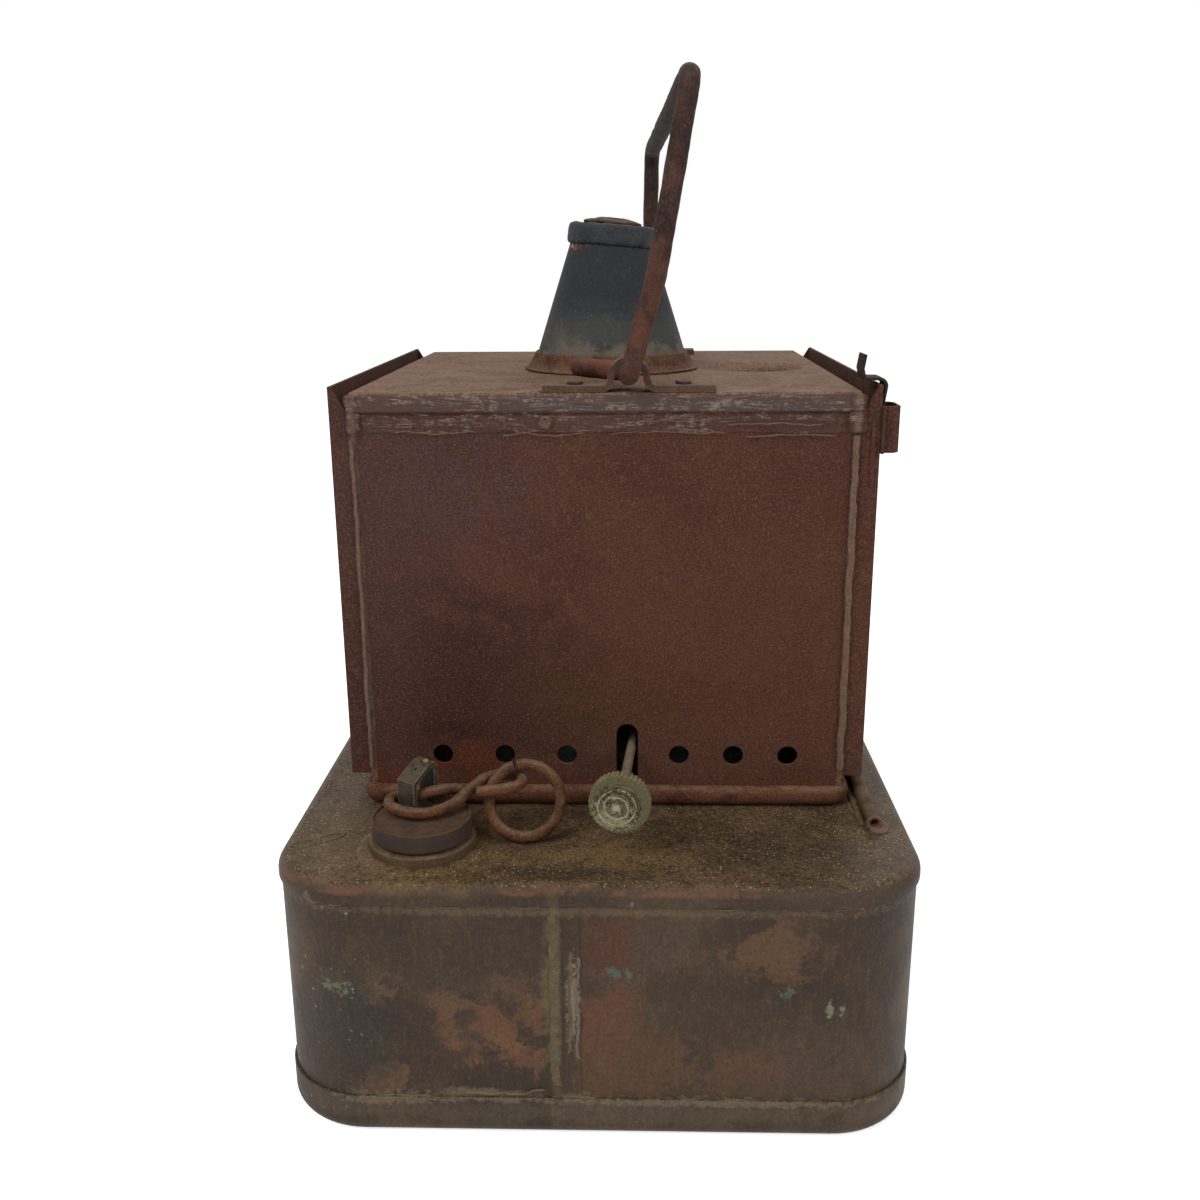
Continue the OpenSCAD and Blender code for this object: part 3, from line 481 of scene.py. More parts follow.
@dataclass(frozen=True)
class OldBrass:
    """Brass or bronze with tarnish in its hollows and dust on top."""

    name: str
    tarnish: str
    metal: str
    dust: str
    shine: float = 0.4
    cell: float = 0.006
    contrast: float = 0.2
    dust_share: float = 0.6
    worn: str = "#85734f"
    wear: float = 0.0
    marks: tuple[Mark, ...] = ()

    def rings(self, s: Surface) -> None:
        """Lays what a turned part has on it; a plain part has nothing."""

    def build(self) -> bpy.types.Material:
        """Returns the finished material."""
        s = Surface(self.name, self.tarnish)
        mottle = s.noise(self.cell, 7, 0.75, 0.5)
        fine = s.noise(0.0006, 4, 0.75)
        s.coat(self.metal, s.ramp(mottle, 0.5 - self.contrast, 0.5 + self.contrast))
        s.marks(self.marks, mottle)
        self.rings(s)
        settled = s.ramp(s.noise(0.004, 6, 0.75), 0.3, 0.6)
        s.coat(self.dust, s.ramp(s.upwards, 0.4, 0.9), settled, self.dust_share)
        s.coat(self.tarnish, s.ramp(fine, 0.5, 0.35), 0.5)
        s.coat(self.dust, s.ramp(s.grains(0.0014), 0.18, 0.08), s.ramp(mottle, 0.4, 0.55), 0.4)
        if self.wear:
            s.coat(self.worn, s.edges(self.wear), s.ramp(mottle, 0.38, 0.52), 0.8)
        rough = s.sum("ADD", s.times(mottle, 0.35), 0.8 - self.shine * 0.6)
        normal = s.bump(fine, 0.00006, s.bump(mottle, self.cell * 0.05))
        return s.close(rough, s.times(s.ramp(mottle, 0.3, 0.7), self.shine), normal, Specular_IOR_Level=0.25)


@dataclass(frozen=True)
class KnobBrass(OldBrass):
    """The winder knob's brass, with turned rings, painted highlights on their ridges, green-white crust and a handled
    rim.

    Each ridge and groove is given by its radius and half its width, as shares of the knob's radius.
    """

    centre: Point = (6.5, -103.7, 106.4)
    radius: float = 9.5
    crust: str = "#89866a"
    # The colour of the painted highlights on the ridges.
    bright: str = "#c4b98f"
    rim: str = "#575038"
    ridges: tuple[tuple[float, float], ...] = ((0.14, 0.05), (0.34, 0.04), (0.5, 0.025), (0.68, 0.03))
    grooves: tuple[tuple[float, float], ...] = ((0.24, 0.05), (0.42, 0.04), (0.79, 0.03))

    def rings(self, s: Surface) -> None:
        """Lays the crust, the painted highlights on the ridges, the grooves and the rim."""
        fine = s.noise(0.0011, 4, 0.75)
        far = s.shifted(s.away(mm(*self.centre), mm(*(self.radius,) * 3)), fine, 0.04)
        x, y, z = self.centre
        crust = s.away(mm(x - 2.4, y, z - 4), mm(6, 9, 4.2))
        s.coat(self.crust, s.ramp(s.shifted(crust, s.ramp(fine, 0.35, 0.65), 0.9), 1.2, 0.7), 0.75)
        crumbled = s.ramp(fine, 0.38, 0.55)
        # Painted highlights along the turned ridges.
        for at, half in self.ridges:
            s.coat(self.bright, s.ramp(far, at - half, at), s.ramp(far, at + half, at), crumbled, 0.75)
        for at, half in self.grooves:
            s.coat(self.tarnish, s.ramp(far, at - half, at), s.ramp(far, at + half, at), 0.55)
        s.coat(self.rim, s.ramp(far, 0.82, 0.9), 0.85)


@dataclass(frozen=True)
class Cotton:
    """Flat woven wick, charred at its top."""

    name: str = "wick_cotton"
    gap: str = "#8f8266"
    thread: str = "#cfc4a6"
    char: str = "#1d1815"

    def build(self) -> bpy.types.Material:
        """Returns the finished material."""
        s = Surface(self.name, self.gap)
        wave = {"Vector": s.place, "Scale": 420.0, "Distortion": 0.6}
        weave = s.add("ShaderNodeTexWave", wave, bands_direction="Z").outputs["Fac"]
        s.coat(self.thread, s.ramp(weave, 0.3, 0.8))
        s.coat(self.char, s.ramp(s.along[Axis.Z], *mm(130, 139)))
        return s.close(0.9, 0.0, s.bump(weave, 0.0003))


@dataclass(frozen=True)
class BullseyeGlass:
    """Thick glass with a little dust and a grey colour that is painted shade, keeping the inside of the case dark."""

    name: str = "lens_glass"
    # Painted shade: the grey colour dims the light through the lens, so that the inside of the case stays dark.
    shade_tint: str = "#8f9a98"
    dust: str = "#8a8272"

    def build(self) -> bpy.types.Material:
        """Returns the finished material."""
        s = Surface(self.name, self.shade_tint)
        settled = s.noise(0.006, 6, 0.75)
        rough = s.sum("ADD", s.times(s.ramp(settled, 0.45, 0.7), 0.25), 0.04)
        s.coat(self.dust, s.ramp(settled, 0.5, 0.75), 0.3)
        return s.close(rough, Transmission_Weight=0.92, IOR=1.5)


WALL_MARKS = (
    Mark((-60, -64, 200), (34, 9, 26), "#463336", 0.55, 0.6),
    Mark((-48, -64, 128), (44, 9, 26), "#27150f", 0.65, 0.6),
    Mark((-72, -64, 150), (12, 9, 60), "#432f2b", 0.5, 0.5),
    Mark((62, -64, 196), (26, 9, 22), "#4b2a26", 0.45, 0.6),
    Mark((58, -64, 140), (34, 9, 44), "#503220", 0.45, 0.6),
    Mark((0, -64, 122), (30, 9, 18), "#4a3020", 0.45, 0.6),
    Mark((-43, -64, 104), (10, 6, 6), "#5c2a19", 0.5, 0.5, 0.8),
    Mark((-66, -64, 97), (15, 6, 5), "#5a2719", 0.5, 0.5, 0.8),
    Mark((0, -64, 94.5), (90, 6, 2.6), "#52261a", 0.45),
    Mark((-52, -64, 113), (9, 5, 3), "#1f1311", 0.5),
)
LID_MARKS_AND_DENT_SHADE = (
    # The first mark is painted shade inside the dent in the lid.
    Mark((61, 25, 222.6), (15, 15, 3.2), "#1f120d", 0.95, 0.45, 0.2),
    Mark((-30, -8, 228), (12, 26, 3), "#5a4031", 0.5),
    Mark((6, 22, 228), (44, 44, 3), "#5c3f2f", 0.4, 0.35),
    Mark((0, -60, 228), (90, 5, 2), "#8f735f", 0.5, 0.4),
    Mark((0, -64, 226.9), (90, 2, 1.1), "#573a30", 0.6, 0.3),
)
CONE_MARKS_AND_SHADING = (
    # The first two marks are painted light: painted shade over the cone's upper part, and a painted lighter grey-green
    # towards its foot.
    Mark((3, 0, 262), (44, 60, 15), "#16191e", 0.75, 0.6),
    Mark((3, 0, 240), (44, 60, 6), "#44453f", 0.55, 0.6),
    Mark((-14, 9, 270.4), (6.5, 14, 0.8), "#a86c52", 0.9, 0.3, 1.1),
    Mark((4, 0, 233.5), (40, 40, 2.6), "#736556", 0.6, 0.6, 0.9),
    Mark((-14, 6, 236), (8, 14, 5), "#625a50", 0.45, 0.6),
)
TANK_MARKS = (
    Mark((-31, -121, 38), (18, 9, 9), "#62432e", 0.75, 0.35, 0.9),
    Mark((-22, -121, 28), (10, 9, 8), "#66452e", 0.7, 0.35, 0.9),
    Mark((-44, -121, 46), (8, 9, 5), "#5a4130", 0.7, 0.2, 1.0),
    Mark((3, -121, 66), (6, 9, 12), "#4c2c22", 0.75, 0.25, 0.9),
    Mark((5, -121, 42), (7, 9, 12), "#573828", 0.75, 0.25, 0.9),
    Mark((51, -121, 64), (13, 9, 8), "#5d422d", 0.7, 0.35, 1.0),
    Mark((20, -121, 27), (24, 9, 9), "#513827", 0.7, 0.25, 1.1),
    Mark((44, -121, 24), (12, 9, 5), "#4f3728", 0.6, 0.25, 1.1),
    Mark((-65, -121, 19), (9, 9, 5), "#5f4533", 0.65, 0.2, 1.0),
    Mark((-65, -121, 52), (8, 9, 5), "#5c4535", 0.65, 0.2, 1.0),
    Mark((-28, -121, 55), (6, 9, 4), "#563f31", 0.6, 0.25, 1.0),
    Mark((-78, -121, 40), (12, 14, 20), "#2b2a24", 0.7, 0.5, 0.8),
    Mark((-46, -121, 64), (22, 9, 9), "#33291f", 0.6, 0.4, 0.8),
    Mark((38, -121, 47), (16, 9, 12), "#32271f", 0.65, 0.4, 0.9),
    Mark((-13.1, -121, 46), (2.7, 4, 36), "#5f5338", 0.75, 0.5, 0.5),
    Mark((-7, -121, 47), (1.8, 4, 12), "#7a705c", 0.75, 0.3, 0.8),
    Mark((-10.0, -121, 47), (0.6, 4, 34), "#2b221a", 0.8, 0.3, 0.4),
    Mark((0, -121, 79), (92, 20, 1.5), "#665640", 0.45, 0.5, 0.7),
    Mark((0, -121, 9), (92, 20, 3.6), "#54493a", 0.4, 0.6, 0.8),
    Mark((-30, -121, 14.6), (18, 9, 2.4), "#6d614d", 0.65, 0.3, 0.6),
    Mark((-64, -121, 13.4), (16, 9, 1.8), "#6b604c", 0.6, 0.3, 0.8),
    Mark((40, -121, 13.0), (46, 9, 1.3), "#6b604c", 0.6, 0.3, 0.8),
    Mark((8, -121, 58), (3.2, 4, 1.5), "#3f5e54", 0.65, 0.3, 1.5),
    Mark((58, -121, 52), (1.9, 4, 1.3), "#465f55", 0.65, 0.3, 1.5),
    Mark((71, -121, 47), (0.8, 4, 2.4), "#7f8570", 0.6, 0.3, 1.0),
    Mark((75, -121, 46), (0.7, 4, 2.0), "#7f8570", 0.5, 0.3, 1.0),
    Mark((-80, -121, 52), (3.8, 9, 1.5), "#6f7562", 0.5, 0.3, 1.6),
    Mark((-62, -95, 87), (34, 26, 3), "#65502f", 0.55, 0.5, 0.6),
    Mark((4, -97, 87), (26, 10, 3), "#775f3c", 0.6, 0.5, 0.8),
    Mark((-11, -112, 87), (16, 4, 3), "#1f1a15", 0.6, 0.6, 0.6),
    Mark((62, -97, 87), (30, 14, 3), "#332a22", 0.55, 0.6, 0.5),
)
CAP_MARKS = (
    Mark((-55.5, -94.2, 95), (18, 18, 2.2), "#2f2c2a", 0.85, 0.2, 0.2),
)
HOOK_MARKS = (
    Mark((-31, -96, 108), (8, 5, 3), "#6d6654", 0.6, 0.4, 0.6),
)
BAIL_MARKS = (
    Mark((2, -50, 233), (9, 16, 7), "#6f402a", 0.6),
    Mark((2, -10, 250), (20, 60, 10), "#643d2e", 0.4, 0.6, 0.9),
    Mark((30, 30, 314), (90, 130, 36), "#1f1c1e", 0.85, 0.5, 0.6),
)

IRON = CaseRust("case_rust", "#301d17", "#4b3128", "#6c4838", "#937b69", grit=0.6, specks=0.35, marks=WALL_MARKS)
LID = CaseRust("lid_rust_and_dent_shade", "#452d22", "#5d4436", "#8a6f5c", "#947a64", dust_share=0.4, grain=0.0011, grit=0.7,
               marks=LID_MARKS_AND_DENT_SHADE)
WIRE_RUST = Rust("wire_rust", "#35221a", "#583a27", "#7b5439", "#93806a", patch=0.006, cloudy=0.7, marks=HOOK_MARKS)
BEAD_RUST = Rust("bead_rust", "#26140e", "#553528", "#7b5138", "#8a7057", dust_share=0.5, patch=0.01, cloudy=0.6)
HINGE_RUST = Rust("hinge_rust", "#33261e", "#4e3a2c", "#6d5540", "#8a765e", patch=0.012)
BAIL_RUST = Rust("bail_rust", "#241713", "#4c3229", "#694839", "#7d6a5e", patch=0.009, cloudy=0.9, grit=0.3,
                 shine=0.15, marks=BAIL_MARKS)
CONE_GREY = Rust("chimney_slate_and_shading", "#1d1f22", "#2b2d2f", "#434241", "#776b5f", patch=0.02, cloudy=0.5,
                 specks=0.8, shine=0.3, marks=CONE_MARKS_AND_SHADING)
RIM_GREY = Rust("rim_slate", "#1a1b1e", "#2f3135", "#4a4748", "#6f6055", patch=0.006, cloudy=0.7, specks=0.7,
                shine=0.3)
BAFFLE_RUST = Rust("baffle_rust", "#281b16", "#4a382e", "#6a5546", "#7f7060", dust_share=0.45, patch=0.006,
                   cloudy=0.9)
COLLAR_RUST = Rust("collar_rust", "#3a1f16", "#573c2d", "#785a44", "#826e5b", dust_share=0.5, patch=0.008, cloudy=0.9)
BRACKET_RUST = Rust("bracket_rust", "#382823", "#4f3c33", "#705644", "#8b7866", dust_share=0.5, patch=0.01, wear=0.0005)
CLIP_RUST = Rust("clip_rust", "#1b1513", "#302420", "#4d382b", "#6d5f54", patch=0.01)
SOLDER_GREY = Rust("solder_grey", "#4b413b", "#665a51", "#7f7469", "#8f8579", patch=0.004, relief=0.00006, shine=0.2)
SOLDER_TAN = Rust("solder_tan", "#4c372e", "#624b3f", "#7a6252", "#8b7664", patch=0.004, relief=0.00006, shine=0.15)
SOLDER_OLIVE = Rust("solder_olive", "#41382a", "#5a4f3b", "#726750", "#837a63", patch=0.004, relief=0.00006, shine=0.2)
DUST_HEAP = Rust("dust_heap", "#3a2f23", "#524230", "#735f45", "#9a845f", grain=0.0006, patch=0.006, shine=0.05)
COPPER = Patina("tank_patina", "#2e231b", "#453629", "#2d2f27", "#69533b", "#6e4730", "#705e43", marks=TANK_MARKS)
FILLER = OldBrass("filler_bronze", "#2d211a", "#463326", "#634836", shine=0.25, wear=0.0003, marks=CAP_MARKS)
GOLD_EDGE = OldBrass("worn_edge", "#66532f", "#a08550", "#8a7652", shine=0.5, cell=0.002)
LUG = OldBrass("lug_bronze", "#26201a", "#463c31", "#6a5a47", shine=0.4, cell=0.002, contrast=0.14, dust_share=0.4,
               worn="#968664", wear=0.0004)
KNOB = KnobBrass("winder_verdigris_and_highlights", "#30291a", "#615a40", "#998f6c", shine=0.25, cell=0.0018, contrast=0.09)
SPINDLE = OldBrass("spindle_tarnish", "#3b3028", "#6b5a4b", "#8a7866", shine=0.2, cell=0.0015)
BURNER = OldBrass("burner_brass", "#5a4526", "#8d7440", "#8b7a5c", shine=0.7)
WASHER = OldBrass("oiled_leather", "#1d150f", "#3a2b1e", "#5a4d3e", shine=0.0)


@dataclass(frozen=True)
class Role:
    """What a piece rides on, its material slot in the record and its finish."""

    body: Body
    slot: str
    finish: Finish


TANK_SHEET = Role(Body.FOUNT, "tank_copper", COPPER)
TANK_SOLDER = Role(Body.FOUNT, "tank_copper", SOLDER_OLIVE)
TANK_SOLDER_GREY = Role(Body.FOUNT, "tank_copper", SOLDER_GREY)
HINGE = Role(Body.FOUNT, "hinge_iron", HINGE_RUST)
HINGE_SOLDER = Role(Body.FOUNT, "hinge_iron", SOLDER_TAN)
BURNER_PART = Role(Body.FOUNT, "burner_brass", BURNER)
CAP_EDGE = Role(Body.CAP, "filler_brass", GOLD_EDGE)
CASE_SHEET = Role(Body.CASE, "case_iron", IRON)
CASE_SOLDER = Role(Body.CASE, "case_iron", SOLDER_TAN)
BRACKET = Role(Body.CASE, "bracket_iron", BRACKET_RUST)


class Finishes:
    """The materials, each built once when it is first asked for."""

    def __init__(self) -> None:
        """Starts with none built."""
        self.built: dict[str, bpy.types.Material] = {}

    def __call__(self, finish: Finish) -> bpy.types.Material:
        """Returns the material of a finish."""
        if finish.name not in self.built:
            self.built[finish.name] = finish.build()
        return self.built[finish.name]


class Bench:
    """Modelling steps that several sub-assemblies share."""

    # What a run's box starts at, as shares of the run's width and height, because the subdivision draws it in.
    START = (1.25, 2.6)
    # How far apart a run's cross-sections are, in metres.
    STEP = 0.0016
    # The sizes, in metres, of a run's bends, of its ragged edges, of its lumps and of the stretches that dip.
    WANDER, RAGGED, LUMPS, DIPS = 0.009, 0.0022, 0.003, 0.006

    def __init__(self, finishes: Finishes) -> None:
        """Starts a bench with its finishes."""
        self.finishes = finishes

    def only(self, piece: bpy.types.Object) -> None:
        """Makes a piece the only selected and the active one."""
        bpy.ops.object.select_all(action="DESELECT")
        piece.select_set(True)
        bpy.context.view_layer.objects.active = piece

    def settle(self, piece: bpy.types.Object) -> None:
        """Moves a piece's place, turn and size into its mesh."""
        self.only(piece)
        bpy.ops.object.transform_apply(location=True, rotation=True, scale=True)

    def modify(self, piece: bpy.types.Object, kind: str, **settings: object) -> None:
        """Adds a modifier with its settings and applies it."""
        self.only(piece)
        modifier = piece.modifiers.new(kind.lower(), kind)
        for key, value in settings.items():
            setattr(modifier, key, value)
        bpy.ops.object.modifier_apply(modifier=modifier.name)

    def smooth(self, piece: bpy.types.Object, angle: float = EDGE_ANGLE) -> None:
        """Shades a piece smooth, except at edges sharper than the angle."""
        self.only(piece)
        bpy.ops.object.shade_smooth_by_angle(angle=math.radians(angle))

    def copy(self, node: str) -> bpy.types.Object:
        """Copies a node of the frame as a merged mesh.

        Args:
            node: The node's name.

        Returns:
            The new piece, named after its node.
        """
        piece = bpy.data.objects.new(node + "_piece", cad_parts[node].data.copy())
        bpy.context.scene.collection.objects.link(piece)
        piece.data.materials.clear()
        self.only(piece)
        bpy.ops.object.mode_set(mode="EDIT")
        bpy.ops.mesh.select_mode(type="VERT")
        bpy.ops.mesh.select_all(action="SELECT")
        bpy.ops.mesh.remove_doubles(threshold=MERGE_REACH)
        bpy.ops.mesh.dissolve_limited(angle_limit=math.radians(FLAT_ANGLE))
        bpy.ops.object.mode_set(mode="OBJECT")
        return piece

    def pick_edges(self, piece: bpy.types.Object, wanted: Callable[[Vector, Vector], bool]) -> None:
        """Enters edit mode with only the wanted edges selected.

        Args:
            piece: The piece.
            wanted: A test that takes an edge's two ends.
        """
        self.only(piece)
        bpy.ops.object.mode_set(mode="EDIT")
        bpy.ops.mesh.select_mode(type="EDGE")
        bpy.ops.mesh.select_all(action="DESELECT")
        bpy.ops.object.mode_set(mode="OBJECT")
        corners = piece.data.vertices
        for edge in piece.data.edges:
            edge.select = wanted(corners[edge.vertices[0]].co, corners[edge.vertices[1]].co)
        bpy.ops.object.mode_set(mode="EDIT")

    def ease(self, piece: bpy.types.Object, width: float) -> None:
        """Rounds a piece's sharp edges to that width, as handling and rust do."""
        self.modify(piece, "BEVEL", width=width, segments=2, limit_method="ANGLE",
                    angle_limit=math.radians(EDGE_ANGLE), use_clamp_overlap=True)
        self.smooth(piece)
        self.modify(piece, "WEIGHTED_NORMAL", keep_sharp=True)

    def roughen(self, piece: bpy.types.Object, size: float, depth: float, way: str = "NORMAL") -> None:
        """Moves a piece's surface in and out by a cloudy pattern.

        Args:
            piece: The piece.
            size: The size of the pattern.
            depth: How far the surface moves.
            way: The way it moves: NORMAL, or an axis.
        """
        clouds = bpy.data.textures.new(piece.name + "_relief", "CLOUDS")
        clouds.noise_scale = size
        clouds.noise_depth = 2
        self.modify(piece, "DISPLACE", texture=clouds, strength=depth, mid_level=0.5, texture_coords="LOCAL",
                    direction=way)

    def place(self, piece: bpy.types.Object, role: Role, *nodes: str) -> None:
        """Gives a piece its role's finish and body, and hides the nodes that it stands for."""
        piece.data.materials.clear()
        piece.data.materials.append(self.finishes(role.finish))
        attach(piece, role.body.value)
        if nodes:
            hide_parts(*nodes)
        log.info("%s: %d faces, rides on %s", piece.name, len(piece.data.polygons), role.body.value)

    def dress(self, role: Role, *nodes: str, width: float = 0.00025) -> None:
        """Makes pieces that keep their nodes' shapes and get eased edges and a finish.

        Args:
            role: The role of the pieces.
            nodes: The nodes that they stand for.
            width: How wide their eased edges are, or 0 for none.
        """
        for node in nodes:
            piece = self.copy(node)
            if width:
                self.ease(piece, width)
            else:
                self.smooth(piece)
            self.place(piece, role, node)

    def weather(self, role: Role, node: str, cell: float, lump: float, depth: float) -> None:
        """Makes a piece that follows its node's shape with an uneven, rust-eaten surface.

        Args:
            role: The piece's role.
            node: The node that it stands for.
            cell: How fine its mesh is.
            lump: The size of the unevenness.
            depth: How deep it is.
        """
        piece = self.copy(node)
        self.modify(piece, "REMESH", mode="VOXEL", voxel_size=cell)
        self.modify(piece, "SMOOTH", factor=0.5, iterations=3)
        self.roughen(piece, lump, depth)
        self.smooth(piece, 60)
        self.place(piece, role, node)

    def lay(self, piece: bpy.types.Object, role: Role) -> None:
        """Shades a laid run, drop or hoop and gives it its role's finish and body."""
        self.smooth(piece, 70)
        self.place(piece, role)

    def run(self, role: Role, name: str, start: Point, end: Point, wide: float, proud: float, out: Axis,
            wave: float = 0.8, sunk: float = 0.0) -> None:
        """Lays an uneven run of solder on a surface, along one axis.

        Args:
            role: The piece's role.
            name: The piece's name.
            start: One end, in millimetres.
            end: The other end, in millimetres.
            wide: How wide it is, in millimetres.
            proud: How far it stands out, in millimetres.
            out: The axis that it stands out along.
            wave: How far it wanders sideways, in millimetres.
            sunk: How far stretches of it dip into the surface, as a share of its height.
        """
        a, b = Vector(mm(*start)), Vector(mm(*end))
        wide, proud, wave = mm(wide, proud, wave)
        along = max(Axis, key=lambda axis: abs((b - a)[axis.value]))
        across = next(axis for axis in Axis if axis not in (along, out))
        bpy.ops.object.select_all(action="DESELECT")
        bpy.ops.mesh.primitive_cube_add(size=1, location=(a + b) / 2)
        piece = bpy.context.active_object
        piece.name = name
        length = (b - a).length
        piece.scale[along.value] = length
        piece.scale[across.value] = wide * self.START[0]
        piece.scale[out.value] = proud * self.START[1]
        self.settle(piece)
        self.pick_edges(piece, lambda p, q: abs((p - q)[along.value]) > length * 0.9)
        bpy.ops.mesh.subdivide(number_cuts=max(4, int(length / self.STEP)))
        bpy.ops.object.mode_set(mode="OBJECT")
        self.modify(piece, "SUBSURF", levels=2, render_levels=2)
        self.roughen(piece, self.WANDER, wave * 2, across.name)
        self.roughen(piece, self.RAGGED, wide * 0.35, across.name)
        self.roughen(piece, self.LUMPS, proud * 0.7)
        if sunk:
            self.roughen(piece, self.DIPS, proud * 5 * sunk, out.name)
        self.lay(piece, role)

    def seat(self, piece: bpy.types.Object, centre: Point, out: Axis, deep: float) -> None:
        """Cuts a piece flat a little below the surface that it lies on, and closes the cut.

        Args:
            piece: The piece.
            centre: A point on the surface, in millimetres.
            out: The axis that the surface faces: up along Z, or to the rear along Y.
            deep: How far below the surface the cut is, in metres.
        """
        side = 1 if out is Axis.Z else -1
        spot, facing = list(mm(*centre)), [0.0, 0.0, 0.0]
        spot[out.value] -= side * deep
        facing[out.value] = side
        self.only(piece)
        bpy.ops.object.mode_set(mode="EDIT")
        bpy.ops.mesh.select_all(action="SELECT")
        bpy.ops.mesh.bisect(plane_co=spot, plane_no=facing, use_fill=True, clear_inner=True)
        bpy.ops.object.mode_set(mode="OBJECT")

    def drop(self, role: Role, name: str, centre: Point, size: Point, out: Axis = Axis.Z) -> None:
        """Lays an uneven drop of solder or dirt.

        Args:
            role: The piece's role.
            name: The piece's name.
            centre: Its centre, in millimetres.
            size: Its half sizes, in millimetres.
            out: The axis that its surface faces.
        """
        bpy.ops.object.select_all(action="DESELECT")
        bpy.ops.mesh.primitive_ico_sphere_add(subdivisions=4, radius=1, location=mm(*centre))
        piece = bpy.context.active_object
        piece.name = name
        piece.scale = mm(*size)
        self.settle(piece)
        self.seat(piece, centre, out, size[out.value] / 1000 * 0.45)
        self.roughen(piece, max(size) / 1000 * 0.8, min(size) / 1000 * 0.5)
        self.lay(piece, role)

    def hoop(self, role: Role, name: str, centre: Point, radius: float, thick: float, flat: float,
             lumps: float = 0.3, stretch: tuple[float, float] = (1, 1), turn: float = 0.0,
             out: Axis = Axis.Z) -> None:
        """Lays an uneven ring of solder, dust or metal.

        Args:
            role: The piece's role.
            name: The piece's name.
            centre: Its centre, in millimetres.
            radius: Its radius, in millimetres.
            thick: Its wire's radius, in millimetres.
            flat: How far it is flattened, from 0 to 1.
            lumps: How uneven it is, as a share of its thickness.
            stretch: How far it is stretched along its own first and second axes.
            turn: Its turn about its axis, in degrees, if that is Z.
            out: Its axis, Y or Z.
        """
        tilt = (math.pi / 2, 0, 0) if out is Axis.Y else (0, 0, math.radians(turn))
        bpy.ops.object.select_all(action="DESELECT")
        bpy.ops.mesh.primitive_torus_add(major_radius=radius / 1000, minor_radius=thick / 1000, major_segments=96,
                                         minor_segments=12, location=mm(*centre), rotation=tilt)
        piece = bpy.context.active_object
        piece.name = name
        piece.scale = (*stretch, flat)
        self.settle(piece)
        self.seat(piece, centre, out, thick * flat / 1000 * 0.5)
        self.roughen(piece, thick / 1000 * 2.5, thick / 1000 * lumps * 2)
        self.lay(piece, role)


@dataclass
class Studio:
    """Floor, sky, lamps and camera. What the camera sees of the floor and the sky is lifted to white."""

    camera_at: Point = (0.011644, -0.441222, 0.266923)
    yaw: float = -1.71
    pitch: float = 15.87
    roll: float = -0.37
    lens: float = 36.29
    lift: float = 0.6
    sky: tuple[float, float] = (0.45, 1.0)
    lamps: tuple[tuple[str, Point, float], ...] = (
        ("key", (-0.9, -1.1, 1.5), 20),
        ("fill", (1.2, -0.9, 0.9), 9),
        ("rear", (0.2, 1.3, 1.3), 8),
    )

    def camera(self) -> None:
        """Adds the camera at the photograph's viewpoint."""
        yaw, pitch, roll = (math.radians(a) for a in (self.yaw, self.pitch, self.roll))
        forward = Vector((math.sin(yaw) * math.cos(pitch), math.cos(yaw) * math.cos(pitch), -math.sin(pitch)))
        right = Vector((math.cos(yaw), -math.sin(yaw), 0))
        up = right.cross(forward)
        right, up = right * math.cos(roll) + up * math.sin(roll), up * math.cos(roll) - right * math.sin(roll)
        data = bpy.data.cameras.new("camera")
        data.lens = self.lens
        data.sensor_width = 36.0
        data.clip_start = 0.01
        camera = bpy.data.objects.new("camera", data)
        bpy.context.scene.collection.objects.link(camera)
        turn = Matrix((right, up, -forward)).transposed().to_4x4()
        camera.matrix_world = Matrix.Translation(self.camera_at) @ turn
        bpy.context.scene.camera = camera

    def floor(self) -> None:
        """Adds a white floor, lifted so that only the lamp's shadow shows on it."""
        bpy.ops.object.select_all(action="DESELECT")
        bpy.ops.mesh.primitive_plane_add(size=8, location=(0, 0, 0))
        plane = bpy.context.active_object
        plane.name = "floor"
        s = Surface("studio_paper")
        paper = s.add("ShaderNodeBsdfDiffuse", {"Color": (0.9, 0.9, 0.9, 1)})
        lift = s.add("ShaderNodeEmission", {"Strength": s.times(s.seen(), self.lift)})
        both = s.add("ShaderNodeAddShader", {0: paper.outputs[0], 1: lift.outputs[0]})
        s.add("ShaderNodeOutputMaterial", {"Surface": both.outputs[0]})
        plane.data.materials.append(s.material)

    def lamp(self, name: str, place: Point, power: float) -> None:
        """Adds a soft lamp a metre wide that faces the object.

        Args:
            name: The lamp's name.
            place: Where it hangs.
            power: Its power in watts.
        """
        data = bpy.data.lights.new(name, "AREA")
        data.shape = "DISK"
        data.size = 1.0
        data.energy = power
        lamp = bpy.data.objects.new(name, data)
        bpy.context.scene.collection.objects.link(lamp)
        lamp.location = place
        lamp.rotation_euler = (Vector((0, 0, 0.15)) - Vector(place)).to_track_quat("-Z", "Y").to_euler()

    def world(self) -> None:
        """Lights the scene evenly, with a white sky behind it."""
        world = bpy.data.worlds.new("sky")
        world.use_nodes = True
        tree = Tree(world.node_tree)
        dim, white = self.sky
        strength = tree.add("ShaderNodeMapRange", {"Value": tree.seen(), "To Min": dim, "To Max": white}).outputs[0]
        sky = tree.add("ShaderNodeBackground", {"Color": (1, 1, 1, 1), "Strength": strength})
        tree.add("ShaderNodeOutputWorld", {"Surface": sky.outputs[0]})
        bpy.context.scene.world = world

    def build(self) -> None:
        """Sets the studio up."""
        bpy.context.scene.view_settings.view_transform = "Standard"
        self.camera()
        self.floor()
        self.world()
        for name, place, power in self.lamps:
            self.lamp(name, place, power)
        log.info("studio: camera, floor, sky and lamps")


